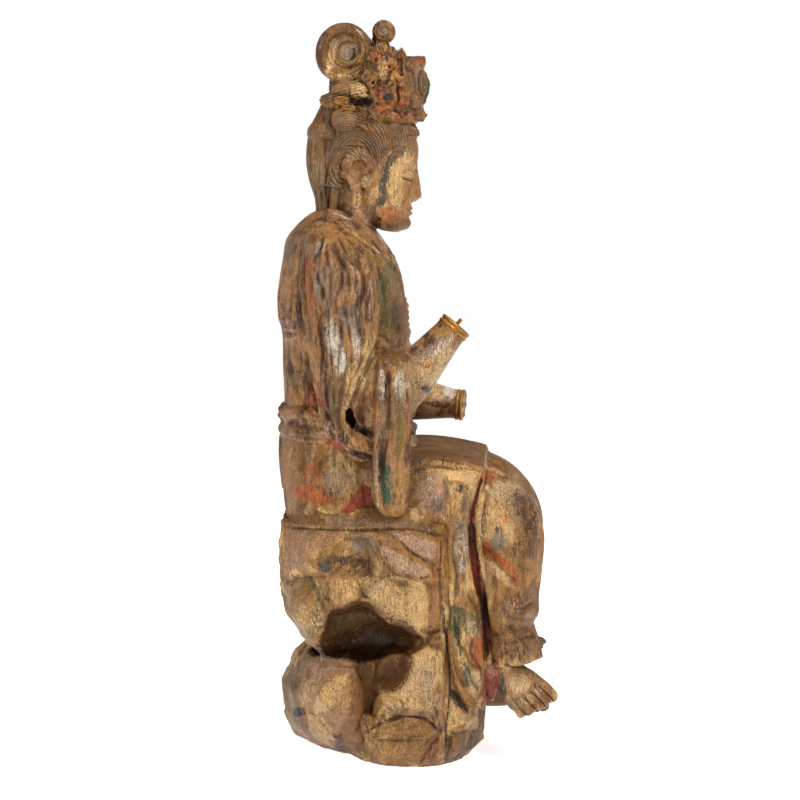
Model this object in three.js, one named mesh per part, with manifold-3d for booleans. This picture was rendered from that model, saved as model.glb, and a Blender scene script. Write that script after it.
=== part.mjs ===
// A carved and painted wooden figure of a bodhisattva, seated with both legs pendant
// on a rock of the same carving, and the metal pin that stands in its right wrist.
// Millimetres, +Z up. The figure faces -Y and its own left is +X.
import * as THREE from 'three';
import { ConvexGeometry } from 'three/addons/geometries/ConvexGeometry.js';
import { mergeVertices } from 'three/addons/utils/BufferGeometryUtils.js';
import Module from 'manifold-3d';

const wasm = await Module();
wasm.setup();

// Driving sizes, in millimetres
const rockHeight = 358; // seat plane above the ground
const rockWidth = 310;
const rockDepth = 315;
const seatedHeight = 740; // crown top above the seat plane
const wristDiameter = 46;
const braceletProud = 1.8; // each gilt ring stands this far out of the wrist
const braceletRing = 6.5; // width of one ring; a bracelet has two
const pinDiameter = 5.5;
const pinLength = 26;
const pinProud = 10; // length of pin that stands out of the wrist
const pinClearance = 0.3;
const caveDepth = 112; // how far the hollow under the seat goes in from the rock's side
const carvingTolerance = 0.8; // facets are merged where the surface stays this true

// The body's canon: the seated figure is laid out in 740 parts of its own height,
// counted from the ground of a rock whose seat is at part 358
const partsInBody = 740;
const partsToSeat = 358;
const part = seatedHeight / partsInBody;

// The rock's canon: its block is laid out 310 wide, 315 deep and 358 high
const canonRock = new THREE.Vector3(310, 315, 358);
const rockSize = new THREE.Vector3(rockWidth, rockDepth, rockHeight);
const rockScale = rockSize.clone().divide(canonRock);

const bodyPlace = new THREE.Matrix4()
  .makeTranslation(0, 0, rockHeight)
  .multiply(new THREE.Matrix4().makeScale(part, part, part))
  .multiply(new THREE.Matrix4().makeTranslation(0, 0, -partsToSeat));
const rockPlace = new THREE.Matrix4().makeScale(rockScale.x, rockScale.y, rockScale.z);

const X = new THREE.Vector3(1, 0, 0);
const Y = new THREE.Vector3(0, 1, 0);
const Z = new THREE.Vector3(0, 0, 1);
const turn = 2 * Math.PI;

const point = (p) => new THREE.Vector3(p[0], p[1], p[2]);
const degrees = THREE.MathUtils.degToRad;
const smooth = THREE.MathUtils.smoothstep;

// Solids from geometries

function solid(geometry) {
  const position = geometry.getAttribute('position');
  const mesh = new wasm.Mesh({
    numProp: 3,
    vertProperties: new Float32Array(position.array),
    triVerts: new Uint32Array(geometry.index.array),
  });
  return new wasm.Manifold(mesh);
}

function welded(geometry) {
  geometry.deleteAttribute('normal');
  geometry.deleteAttribute('uv');
  return mergeVertices(geometry, 1e-4);
}

function toGeometry(manifold) {
  const mesh = manifold.getMesh();
  const geometry = new THREE.BufferGeometry();
  geometry.setAttribute('position', new THREE.BufferAttribute(mesh.vertProperties, 3));
  geometry.setIndex(new THREE.BufferAttribute(mesh.triVerts, 1));
  geometry.computeVertexNormals();
  return geometry;
}

const union = (solids) => solids.reduce((all, one) => all.add(one));

// The same form on the other side of the middle plane
function mirrored(geometry) {
  const other = geometry.clone();
  other.applyMatrix4(new THREE.Matrix4().makeScale(-1, 1, 1));
  const index = other.index.array;
  for (let i = 0; i < index.length; i += 3) {
    [index[i], index[i + 1]] = [index[i + 1], index[i]];
  }
  return other;
}

const pair = (geometry) => [solid(geometry), solid(mirrored(geometry))];

// A solid's corners, and its facets as triples of their numbers
function skinOf(manifold) {
  const mesh = manifold.getMesh();
  const places = Array.from({ length: mesh.vertProperties.length / 3 }, (_, i) => (
    new THREE.Vector3().fromArray(mesh.vertProperties, 3 * i)
  ));
  const facets = Array.from({ length: mesh.triVerts.length / 3 }, (_, i) => (
    [...mesh.triVerts.subarray(3 * i, 3 * i + 3)]
  ));
  return { places, facets };
}

function solidOf(places, facets) {
  const used = [...new Set(facets.flat())];
  const number = new Map(used.map((v, i) => [v, i]));
  const coordinates = used.flatMap((v) => places[v].toArray());
  const corners = facets.flat().map((v) => number.get(v));
  const geometry = new THREE.BufferGeometry();
  geometry.setAttribute('position', new THREE.Float32BufferAttribute(coordinates, 3));
  geometry.setIndex(new THREE.BufferAttribute(new Uint32Array(corners), 1));
  return solid(geometry);
}

// Fills the pockets that joined forms close in between them: of the separate skins of a solid,
// the ones that face inwards are left out
function withoutPockets(manifold) {
  const { places, facets } = skinOf(manifold);
  const around = places.map(() => []);
  facets.forEach((facet) => facet.forEach((v) => around[v].push(facet)));
  const seen = new Set();
  const kept = [];
  for (const start of facets) {
    if (seen.has(start)) continue;
    seen.add(start);
    const one = [start];
    for (const facet of one) {
      for (const next of facet.flatMap((v) => around[v])) {
        if (seen.has(next)) continue;
        seen.add(next);
        one.push(next);
      }
    }
    const sixfold = one.reduce((sum, [a, b, c]) => (
      sum + places[a].dot(new THREE.Vector3().crossVectors(places[b], places[c]))
    ), 0);
    if (sixfold > 0) kept.push(...one);
  }
  return solidOf(places, kept);
}

// Merging small facets

// The mean squared distance from a place to a set of weighted planes
class PlaneError {
  constructor() {
    this.square = new THREE.Matrix3().multiplyScalar(0);
    this.slope = new THREE.Vector3();
    this.constant = 0;
    this.weight = 0;
  }

  addPlane(normal, offset, weight) {
    const n = normal;
    const [a, b, c] = [n.x * weight, n.y * weight, n.z * weight];
    const add = [a * n.x, a * n.y, a * n.z, b * n.x, b * n.y, b * n.z, c * n.x, c * n.y, c * n.z];
    add.forEach((value, i) => {
      this.square.elements[i] += value;
    });
    this.slope.addScaledVector(n, offset * weight);
    this.constant += offset * offset * weight;
    this.weight += weight;
  }

  add(other) {
    other.square.elements.forEach((value, i) => {
      this.square.elements[i] += value;
    });
    this.slope.add(other.slope);
    this.constant += other.constant;
    this.weight += other.weight;
  }

  at(place) {
    const bent = place.clone().applyMatrix3(this.square);
    return (bent.dot(place) + 2 * this.slope.dot(place) + this.constant) / this.weight;
  }
}

// Closes up the short edges that joins leave behind, wherever the surface stays within the
// tolerance, no facet turns over and the skin stays closed
function merged(manifold, tolerance) {
  const { places, facets: whole } = skinOf(manifold);
  let facets = whole;
  const triangle = (facet) => new THREE.Triangle(...facet.map((v) => places[v]));
  const facing = (facet) => triangle(facet).getNormal(new THREE.Vector3());
  const errors = places.map(() => new PlaneError());
  for (const facet of facets) {
    const normal = facing(facet);
    const weight = triangle(facet).getArea() + 1e-6;
    for (const v of facet) {
      errors[v].addPlane(normal, -normal.dot(places[v]), weight);
    }
  }
  const limit = tolerance * tolerance;

  // The cheaper of an edge's two ends and its middle, as the place for both ends
  const bestPlace = (a, b) => {
    const choices = [places[a], places[b], places[a].clone().lerp(places[b], 0.5)];
    const costs = choices.map((spot) => Math.max(errors[a].at(spot), 0) + Math.max(errors[b].at(spot), 0));
    const cost = Math.min(...costs);
    return { a, b, cost, place: choices[costs.indexOf(cost)].clone() };
  };

  const onePass = () => {
    const around = places.map(() => []);
    facets.forEach((facet) => facet.forEach((v) => around[v].push(facet)));
    const ring = (v) => new Set(around[v].flat().filter((w) => w !== v));
    const edges = [];
    for (const facet of facets) {
      for (let k = 0; k < 3; k += 1) {
        const [a, b] = [facet[k], facet[(k + 1) % 3]];
        if (a < b) edges.push(bestPlace(a, b));
      }
    }
    const cheap = edges.filter((edge) => edge.cost < limit).sort((one, two) => one.cost - two.cost);
    const busy = new Set();
    const gone = new Set();
    for (const { a, b, place } of cheap) {
      const near = [...around[a], ...around[b]];
      if (near.some((facet) => facet.some((v) => busy.has(v)))) continue;
      const rings = [ring(a), ring(b)];
      const shared = [...rings[0]].filter((v) => rings[1].has(v));
      if (shared.length !== 2) continue;
      const kept = near.filter((facet) => !(facet.includes(a) && facet.includes(b)));
      const before = kept.map(facing);
      const [oldA, oldB] = [places[a], places[b]];
      places[a] = place;
      places[b] = place;
      const turned = kept.some((facet, i) => facing(facet).dot(before[i]) < 0.5);
      places[a] = oldA;
      places[b] = oldB;
      if (turned) continue;
      places[a] = place;
      errors[a].add(errors[b]);
      for (const facet of around[b]) {
        facet[facet.indexOf(b)] = a;
      }
      near.filter((facet) => new Set(facet).size < 3).forEach((facet) => gone.add(facet));
      near.flat().forEach((v) => busy.add(v));
    }
    facets = facets.filter((facet) => !gone.has(facet));
    return gone.size;
  };
  let removed = onePass();
  while (removed > 0) {
    removed = onePass();
  }
  return solidOf(places, facets);
}

// Carving forms

// A closed skin through oval stations. Each station has its centre, its half width, its half
// depth and its corner power, 2 for an oval and more for a squarer one. Level stations keep
// horizontal rings: angle 0 is +X and a quarter turn is +Y. Other rings stand across the path,
// with angle 0 to the side and a quarter turn on the upper or front side. fold(angle, t) moves
// the skin out or in.
function skin(stations, { sides = 20, rings = 10, level = false, side = X, fold = () => 0 } = {}) {
  const path = new THREE.CatmullRomCurve3(stations.map((s) => point(s.at)), false, 'centripetal');
  const sizes = new THREE.CatmullRomCurve3(
    stations.map((s) => new THREE.Vector3(s.wide, s.deep, s.corner ?? 2)),
    false,
    'catmullrom',
    0.5,
  );
  const vertices = [];
  const triangles = [];
  for (let i = 0; i <= rings; i += 1) {
    const t = i / rings;
    const centre = path.getPoint(t);
    const size = sizes.getPoint(t);
    const along = path.getTangent(t);
    const sideways = side.clone().addScaledVector(along, -side.dot(along)).normalize();
    const across = level ? X.clone() : sideways;
    const up = level ? Y.clone() : new THREE.Vector3().crossVectors(along, across);
    for (let j = 0; j < sides; j += 1) {
      const angle = (turn * j) / sides;
      const c = Math.cos(angle);
      const s = Math.sin(angle);
      const power = 2 / size.z;
      const out = fold(angle, t);
      const a = Math.sign(c) * Math.abs(c) ** power * size.x + out * c;
      const b = Math.sign(s) * Math.abs(s) ** power * size.y + out * s;
      const p = centre.clone().addScaledVector(across, a).addScaledVector(up, b);
      vertices.push(p.x, p.y, p.z);
    }
  }
  const first = path.getPoint(0);
  const last = path.getPoint(1);
  const firstHub = vertices.length / 3;
  vertices.push(first.x, first.y, first.z, last.x, last.y, last.z);
  for (let j = 0; j < sides; j += 1) {
    const k = (j + 1) % sides;
    for (let i = 0; i < rings; i += 1) {
      const low = i * sides;
      const high = low + sides;
      triangles.push(low + j, low + k, high + k, low + j, high + k, high + j);
    }
    triangles.push(firstHub, k, j);
    triangles.push(firstHub + 1, rings * sides + j, rings * sides + k);
  }
  const falling = level && last.z < first.z;
  if (falling) {
    for (let i = 0; i < triangles.length; i += 3) {
      [triangles[i], triangles[i + 1]] = [triangles[i + 1], triangles[i]];
    }
  }
  const geometry = new THREE.BufferGeometry();
  geometry.setAttribute('position', new THREE.Float32BufferAttribute(vertices, 3));
  geometry.setIndex(new THREE.BufferAttribute(new Uint32Array(triangles), 1));
  return geometry;
}

// An ellipsoid, turned about X by pitch degrees and about Z by yaw degrees
function ball(at, radii, { pitch = 0, yaw = 0, sides = 12, rings = 8 } = {}) {
  const geometry = welded(new THREE.SphereGeometry(1, sides, rings));
  geometry.scale(radii[0], radii[1], radii[2]);
  geometry.rotateX(degrees(pitch));
  geometry.rotateZ(degrees(yaw));
  geometry.translate(at[0], at[1], at[2]);
  return geometry;
}

// A small faceted bead
function bead(at, radius) {
  const geometry = welded(new THREE.IcosahedronGeometry(radius * 1.1, 0));
  geometry.translate(at[0], at[1], at[2]);
  return geometry;
}

function block(at, size, { pitch = 0 } = {}) {
  const geometry = welded(new THREE.BoxGeometry(size[0], size[1], size[2]));
  geometry.rotateX(degrees(pitch));
  geometry.translate(at[0], at[1], at[2]);
  return geometry;
}

// A round roll that follows a list of places, thick in the middle and thin at its ends
function roll(places, radii, options = {}) {
  const stations = places.map((at, i) => ({ at, wide: radii[i], deep: radii[i] }));
  return skin(stations, { sides: 8, rings: (places.length - 1) * 3, ...options });
}

// Pleats: count ridges round the form. A skin with twice as many sides has one vertex on each
// ridge and one in each cut between.
function pleats(count, depth, swing = 0) {
  return (angle) => depth * Math.cos(count * angle) * (1 + swing * Math.sin(2 * angle + 1));
}

// The rock: faceted boulders that run together, with a winding hollow under the seat

// Each ring is its height and then the corners, x and y, that the stone has there
function boulder(rings) {
  const points = rings.flatMap(([z, ...corners]) => corners.map(([x, y]) => new THREE.Vector3(x, y, z)));
  return solid(welded(new ConvexGeometry(points)));
}

function rock() {
  const seat = boulder([
    [358, [-92, 200], [-150, 146], [-154, -30], [-105, -72], [100, -72], [148, -25], [146, 140], [84, 208]],
    [318, [-94, 202], [-156, 146], [-168, -18], [-118, -80], [104, -80], [158, -20], [156, 130], [88, 212]],
    [262, [-88, 202], [-150, 152], [-168, 4], [-122, -82], [104, -84], [160, -10], [152, 134], [88, 212]],
    [218, [-80, 196], [-138, 158], [-164, 62], [-116, -82], [98, -84], [150, 0], [146, 138], [84, 210]],
    [150, [-44, 160], [-108, 130], [-138, 58], [-90, -72], [90, -80], [130, 0], [124, 130], [34, 168]],
  ]);
  const slab = boulder([
    [346, [-150, 80], [-163, 66], [-168, -12], [-150, -30], [-130, 20]],
    [318, [-150, 70], [-172, 30], [-172, -14], [-150, -34], [-130, 20]],
    [292, [-150, 24], [-168, 14], [-166, -14], [-140, -10]],
  ]);
  const backLobe = boulder([
    [0, [44, 194], [-29, 150], [-72, 108], [-60, 40], [100, 40], [104, 160]],
    [34, [30, 208], [-50, 176], [-104, 124], [-116, 90], [-60, 30], [120, 40], [116, 168]],
    [92, [20, 212], [-60, 190], [-118, 138], [-130, 90], [-60, 30], [120, 40], [112, 172]],
    [140, [12, 192], [-52, 176], [-112, 132], [-122, 86], [-50, 36], [112, 46], [104, 164]],
    [158, [10, 172], [-50, 158], [-104, 124], [-110, 80], [-40, 40], [110, 50], [100, 152]],
  ]);
  const footBlock = boulder([
    [0, [-68, 108], [-113, 80], [-140, 43], [-145, -11], [-136, -37], [-60, -60], [0, 60]],
    [38, [-108, 96], [-148, 52], [-155, -8], [-142, -40], [-60, -60], [0, 60]],
    [70, [-104, 84], [-144, 50], [-150, -8], [-140, -38], [-60, -60], [0, 60]],
  ]);
  const pillar = boulder([
    [40, [-134, 64], [-144, -2], [-134, -38], [-40, -50], [-40, 60]],
    [116, [-130, 40], [-145, 4], [-138, -40], [-40, -60], [-40, 60]],
    [196, [-120, 10], [-138, -10], [-132, -44], [-40, -60], [-40, 60]],
  ]);
  const front = boulder([
    [0, [-136, -37], [-94, -70], [-29, -80], [30, -98], [90, -84], [90, 20], [-100, 0]],
    [60, [-134, -40], [-104, -84], [-30, -102], [40, -104], [98, -88], [90, 20], [-100, 0]],
    [175, [-122, -44], [-100, -80], [-30, -92], [90, -88], [90, 20], [-100, 0]],
  ]);
  const farSide = boulder([
    [0, [96, -76], [142, -30], [146, 60], [108, 150], [0, 120], [0, -60]],
    [70, [100, -84], [152, -30], [156, 60], [118, 156], [0, 120], [0, -60]],
    [190, [90, -74], [136, -20], [140, 70], [104, 150], [0, 120], [0, -60]],
  ]);
  const core = boulder([
    [20, [-50, 120], [-40, -60], [100, -60], [100, 140]],
    [240, [-60, 130], [-50, -60], [110, -60], [110, 140]],
  ]);
  const stone = union([seat, slab, backLobe, footBlock, pillar, front, farSide, core]);
  const mouth = -162;
  const cave = union([
    solid(ball([mouth, 60, 180], [caveDepth, 62, 50], { pitch: -8, sides: 12, rings: 8 })),
    solid(ball([mouth + 2, 38, 150], [caveDepth * 0.6, 46, 47], { sides: 12, rings: 8 })),
    solid(ball([mouth + 6, 78, 98], [60, 46, 86], { pitch: 8, sides: 12, rings: 8 })),
    solid(ball([mouth + 70, 170, 155], [84, 26, 11], { pitch: -8, yaw: -30, sides: 8, rings: 4 })),
  ]);
  return stone.subtract(cave).transform(rockPlace.elements);
}

// The body

function hips() {
  const folds = (angle, t) => (1 - 0.7 * t) * pleats(14, 4, 0.5)(angle);
  return solid(skin([
    { at: [0, 96, 340], wide: 138, deep: 99, corner: 2.6 },
    { at: [0, 99, 385], wide: 140, deep: 103, corner: 2.5 },
    { at: [0, 101, 430], wide: 134, deep: 105, corner: 2.4 },
    { at: [0, 105, 480], wide: 118, deep: 100, corner: 2.2 },
  ], { level: true, sides: 28, rings: 3, fold: folds }));
}

function sash() {
  const band = skin([
    { at: [0, 107, 470], wide: 112, deep: 90 },
    { at: [0, 107, 479], wide: 124, deep: 104 },
    { at: [0, 107, 493], wide: 123, deep: 103 },
    { at: [0, 107, 501], wide: 116, deep: 96 },
    { at: [0, 107, 509], wide: 122, deep: 102 },
    { at: [0, 107, 522], wide: 120, deep: 101 },
    { at: [0, 107, 530], wide: 104, deep: 90 },
  ], { level: true, sides: 18, rings: 6 });
  const knot = ball([0, 198, 506], [24, 15, 17], { sides: 8, rings: 4 });
  const bow = [[8, 200, 508], [40, 196, 516], [56, 184, 498], [30, 190, 492]];
  const loop = roll(bow, [9, 12, 9, 7], { rings: 4, sides: 5 });
  const tail = skin([
    { at: [20, 198, 396], wide: 19, deep: 7 },
    { at: [16, 204, 450], wide: 16, deep: 6 },
    { at: [10, 200, 500], wide: 12, deep: 8 },
  ], { level: true, sides: 6, rings: 2 });
  return union([solid(band), solid(knot), ...pair(loop), ...pair(tail)]);
}

// The upper body. The mantle covers its back and ends in a raised hem under the shoulder blades.
function torso() {
  const mantle = (angle, t) => {
    const back = smooth(Math.sin(angle), -0.1, 0.3);
    const above = smooth(t, 0.36, 0.4);
    return above * back * (3 + pleats(12, 3.5, 0.6)(angle) * (1 - t));
  };
  return solid(skin([
    { at: [0, 106, 500], wide: 106, deep: 97, corner: 2.2 },
    { at: [0, 108, 540], wide: 103, deep: 95, corner: 2.2 },
    { at: [0, 109, 585], wide: 104, deep: 96, corner: 2.2 },
    { at: [0, 109, 628], wide: 110, deep: 96, corner: 2.3 },
    { at: [0, 111, 642], wide: 112, deep: 96, corner: 2.3 },
    { at: [0, 114, 680], wide: 118, deep: 95, corner: 2.3 },
    { at: [0, 117, 712], wide: 119, deep: 89, corner: 2.2 },
    { at: [0, 121, 742], wide: 112, deep: 80, corner: 2.1 },
    { at: [0, 125, 773], wide: 90, deep: 71 },
    { at: [0, 126, 797], wide: 62, deep: 51 },
    { at: [0, 124, 815], wide: 44, deep: 36 },
  ], { level: true, sides: 24, rings: 10, fold: mantle }));
}

// A wide mantle sleeve: folds fan out from the shoulder and gather in a bag under the elbow
function mantleSleeve() {
  const depth = (t) => smooth(t, 0.05, 0.3) * (1 - 0.5 * smooth(t, 0.6, 1));
  const fan = (angle, t) => depth(t) * pleats(11, 5.5, 0.4)(angle);
  return skin([
    { at: [-58, 126, 800], wide: 22, deep: 24 },
    { at: [-84, 120, 777], wide: 39, deep: 43 },
    { at: [-108, 109, 742], wide: 47, deep: 51 },
    { at: [-119, 104, 690], wide: 46, deep: 52 },
    { at: [-125, 106, 632], wide: 43, deep: 52 },
    { at: [-130, 104, 577], wide: 40, deep: 43 },
    { at: [-135, 106, 530], wide: 36, deep: 33 },
    { at: [-138, 98, 492], wide: 31, deep: 30 },
    { at: [-138, 80, 466], wide: 25, deep: 28 },
    { at: [-136, 70, 452], wide: 12, deep: 16 },
  ], { level: true, sides: 22, rings: 10, fold: fan });
}

// The inner sleeve, seen between the mantle's front edge and the hanging end
const innerSleeve = () => skin([
  { at: [-114, 60, 632], wide: 10, deep: 14 },
  { at: [-124, 60, 600], wide: 30, deep: 33 },
  { at: [-130, 62, 530], wide: 30, deep: 34 },
  { at: [-132, 56, 470], wide: 22, deep: 24 },
], { level: true, sides: 12, rings: 4, fold: pleats(6, 2.5) });

// The sleeve's hanging end: it crosses the forearm and falls beside the thigh, with one deep groove
function hangingEnd(top, back = 0) {
  const groove = (angle, t) => -smooth(t, 0.1, 0.3) * 8 * Math.exp(-(((angle - 2.69) / 0.2) ** 2));
  return skin([
    { at: [-124, 26 + back, top], wide: 20, deep: 15 },
    { at: [-142, 28 + back, top - 16], wide: 22, deep: 24, corner: 2.4 },
    { at: [-156, 29 + back, top - 62], wide: 16, deep: 26, corner: 2.6 },
    { at: [-162, 31 + back, 480], wide: 13, deep: 27, corner: 2.8 },
    { at: [-160, 32 + back, 420], wide: 12, deep: 27, corner: 2.8 },
    { at: [-157, 32 + back, 388], wide: 11, deep: 24, corner: 2.4 },
    { at: [-154, 30 + back, 374], wide: 6, deep: 13 },
  ], { level: true, sides: 14, rings: 7, fold: groove });
}

// Forearms: each runs from inside its sleeve to a flat sawn wrist
const rightArm = { elbow: point([-124, 40, 534]), wrist: point([-108, -61, 651]) };
const leftArm = { elbow: point([124, 60, 524]), wrist: point([108, -67, 511]) };

function forearm({ elbow, wrist }) {
  const wristRadius = wristDiameter / 2 / part;
  return solid(skin([
    { at: elbow.toArray(), wide: 37, deep: 37 },
    { at: elbow.clone().lerp(wrist, 0.4).toArray(), wide: 33, deep: 34 },
    { at: elbow.clone().lerp(wrist, 0.8).toArray(), wide: wristRadius + 2, deep: wristRadius + 2 },
    { at: wrist.toArray(), wide: wristRadius, deep: wristRadius },
  ], { sides: 12, rings: 3, side: X }));
}

// Two gilt rings lathed side by side round the end of a wrist
function bracelet({ elbow, wrist }) {
  const inner = wristDiameter / 4;
  const groove = wristDiameter / 2 + braceletProud * 0.3;
  const crest = wristDiameter / 2 + braceletProud;
  const profile = [[inner, 0]];
  for (const start of [0, braceletRing]) {
    profile.push([groove, start], [crest, start + braceletRing * 0.5]);
  }
  profile.push([groove, 2 * braceletRing], [inner, 2 * braceletRing], [inner, 0]);
  const lathe = new THREE.LatheGeometry(profile.map(([r, h]) => new THREE.Vector2(r, h)), 14);
  const ring = welded(lathe);
  ring.translate(0, -2 * braceletRing, 0);
  const axis = wrist.clone().sub(elbow).normalize();
  ring.applyQuaternion(new THREE.Quaternion().setFromUnitVectors(Y, axis));
  const place = wrist.clone().applyMatrix4(bodyPlace);
  ring.translate(place.x, place.y, place.z);
  return solid(ring);
}

// A cylinder along the right forearm that ends proud of the wrist
function wristRod(diameter, length) {
  const geometry = welded(new THREE.CylinderGeometry(diameter / 2, diameter / 2, length, 16));
  const axis = rightArm.wrist.clone().sub(rightArm.elbow).normalize();
  const place = rightArm.wrist.clone().applyMatrix4(bodyPlace);
  place.addScaledVector(axis, pinProud - length / 2);
  geometry.applyQuaternion(new THREE.Quaternion().setFromUnitVectors(Y, axis));
  geometry.translate(place.x, place.y, place.z);
  return geometry;
}

// The lap: a cloth laid over both thighs, with straight sides that fall to the seat
function lap() {
  const valley = (angle, t) => {
    const middle = Math.exp(-(((angle - Math.PI / 2) / 0.4) ** 2));
    return -14 * (0.4 + 0.6 * t) * middle + 2 * Math.cos(13 * angle);
  };
  const undercut = solid(block([0, -122, 378], [400, 60, 190], { pitch: 13 }));
  return solid(skin([
    { at: [0, 40, 402], wide: 138, deep: 66, corner: 4 },
    { at: [0, -10, 402], wide: 141, deep: 67, corner: 4.5 },
    { at: [0, -60, 399], wide: 142, deep: 64, corner: 4.5 },
    { at: [0, -101, 396], wide: 140, deep: 57, corner: 4.5 },
    { at: [0, -107, 396], wide: 132, deep: 49, corner: 4.5 },
  ], { sides: 26, rings: 4, fold: valley })).subtract(undercut);
}

// A bent leg under cloth, from the thigh over the knee to the hem above the foot
function leg(hem) {
  const gather = (angle, t) => {
    const cloth = smooth(t, 0.4, 0.9) * 3 * Math.cos(7 * angle);
    const swag = 4 * Math.exp(-(((t - 0.66 - 0.03 * Math.cos(angle)) / 0.04) ** 2));
    const tuck = -5 * Math.exp(-(((t - 0.76 - 0.02 * Math.cos(angle)) / 0.04) ** 2));
    return cloth + swag + tuck;
  };
  return skin([
    { at: [-74, 40, 402], wide: 60, deep: 56 },
    { at: [-78, -30, 398], wide: 59, deep: 59 },
    { at: [-82, -106, 378], wide: 58, deep: 57 },
    { at: [-85, -137, 343], wide: 55, deep: 52 },
    { at: [-86, -142, 292], wide: 52, deep: 46 },
    { at: [-85, -138, 238], wide: 50, deep: 43 },
    { at: [-84, -136, 196], wide: 48, deep: 38 },
    { at: [-84, -144, hem.height + 16], wide: 51, deep: 41 },
    { at: [-84, -146 - hem.flare / 2, hem.height], wide: 52 + hem.flare, deep: 43 + hem.flare },
  ], { sides: 14, rings: 16, fold: gather });
}

// The skirt between the legs, in upright folds
function skirt() {
  const folds = (angle, t) => pleats(15, 4 + 4 * (1 - t))(angle);
  return solid(skin([
    { at: [0, -84, 100], wide: 76, deep: 36, corner: 2.6 },
    { at: [0, -80, 200], wide: 82, deep: 42, corner: 2.6 },
    { at: [0, -74, 320], wide: 92, deep: 48, corner: 2.6 },
    { at: [0, -60, 430], wide: 96, deep: 48, corner: 2.6 },
  ], { level: true, sides: 30, rings: 3, fold: folds }));
}

// The robe's side fall over the rock's front corner, with a turned hem
const sideFall = () => skin([
  { at: [-106, -92, 82], wide: 6, deep: 8 },
  { at: [-108, -86, 96], wide: 17, deep: 20 },
  { at: [-112, -78, 135], wide: 25, deep: 26 },
  { at: [-117, -73, 185], wide: 28, deep: 29 },
  { at: [-120, -69, 240], wide: 27, deep: 27 },
  { at: [-122, -60, 300], wide: 25, deep: 24 },
  { at: [-120, -59, 350], wide: 23, deep: 26 },
  { at: [-110, -56, 420], wide: 22, deep: 40 },
], { level: true, sides: 14, rings: 8, fold: (angle, t) => (1 - 0.6 * t) * pleats(7, 4)(angle) });

// The red lining behind the side fall, which ends in a pointed tip
const lining = () => skin([
  { at: [-98, -112, 90], wide: 6, deep: 5 },
  { at: [-98, -110, 118], wide: 16, deep: 13 },
  { at: [-98, -106, 170], wide: 20, deep: 14 },
  { at: [-98, -94, 260], wide: 24, deep: 14 },
  { at: [-104, -86, 400], wide: 28, deep: 14 },
], { level: true, sides: 8, rings: 5 });

// A bare foot: a sole that broadens to the ball, and five toes in a slanted row
function foot({ heel, toe, little, thick }) {
  const forward = toe.clone().sub(heel);
  const length = forward.length();
  forward.normalize();
  const across = little.clone().addScaledVector(forward, -little.dot(forward)).normalize();
  const along = (f, w) => (
    heel.clone().addScaledVector(forward, f * length).addScaledVector(across, w).toArray()
  );
  const body = skin([
    { at: along(-0.2, 0), wide: 14, deep: 14 },
    { at: along(0, 0), wide: 24, deep: thick + 11 },
    { at: along(0.35, 0), wide: 28, deep: thick + 7 },
    { at: along(0.66, 0), wide: 37, deep: thick + 1 },
    { at: along(0.84, 0), wide: 36, deep: thick - 3 },
    { at: along(0.9, 0), wide: 22, deep: thick - 9 },
  ], { sides: 10, rings: 5, side: across });
  const toes = [0, 1, 2, 3, 4].map((i) => {
    const w = -28 + i * 14.4;
    const reach = 1.12 - 0.045 * i;
    const radius = i === 0 ? 11 : 8.6 - 0.5 * i;
    const places = [along(0.7, w * 0.92), along(reach - 0.14, w), along(reach - 0.03, w)];
    return roll(places, [radius * 0.9, radius * 1.05, radius * 0.62], { sides: 6, rings: 2, side: across });
  });
  return union([solid(body), ...toes.map(solid)]);
}

function feet() {
  const right = foot({
    heel: point([-96, -122, 148]),
    toe: point([-104, -187, 86]),
    little: point([-40, 50, -29]),
    thick: 18,
  });
  const left = foot({
    heel: point([72, -106, 68]),
    toe: point([82, -182, 46]),
    little: point([60, 8, -6]),
    thick: 17,
  });
  // The left ankle shows under its shorter hem
  const ankle = solid(skin([
    { at: [70, -108, 62], wide: 21, deep: 23 },
    { at: [72, -110, 92], wide: 20, deep: 23 },
    { at: [78, -126, 150], wide: 26, deep: 28 },
  ], { level: true, sides: 8, rings: 3 }));
  return union([right, left, ankle]);
}

// The head

const headCentre = [0, 73, 870];
const headNod = 7; // degrees that the face looks down

// Head forms are laid out about the middle of the head, upright, and then nodded into place
function headPlace(geometry) {
  geometry.rotateX(degrees(headNod));
  geometry.translate(headCentre[0], headCentre[1], headCentre[2]);
  return geometry;
}

const skullStations = (grow) => [
  { at: [0, -40, -82 - grow], wide: 12 + grow, deep: 11 + grow },
  { at: [0, -34, -74], wide: 29 + grow, deep: 31 + grow },
  { at: [0, -16, -52], wide: 42 + grow, deep: 51 + grow, corner: 2.1 },
  { at: [0, -4, -20], wide: 50 + grow, deep: 63 + grow, corner: 2.1 },
  { at: [0, 1, 15], wide: 53 + grow, deep: 69 + grow },
  { at: [0, 4, 50], wide: 52 + grow, deep: 70 + grow },
  { at: [0, 8, 76], wide: 43 + grow, deep: 58 + grow },
  { at: [0, 12, 92 + grow], wide: 20 + grow, deep: 30 + grow },
];

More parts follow.
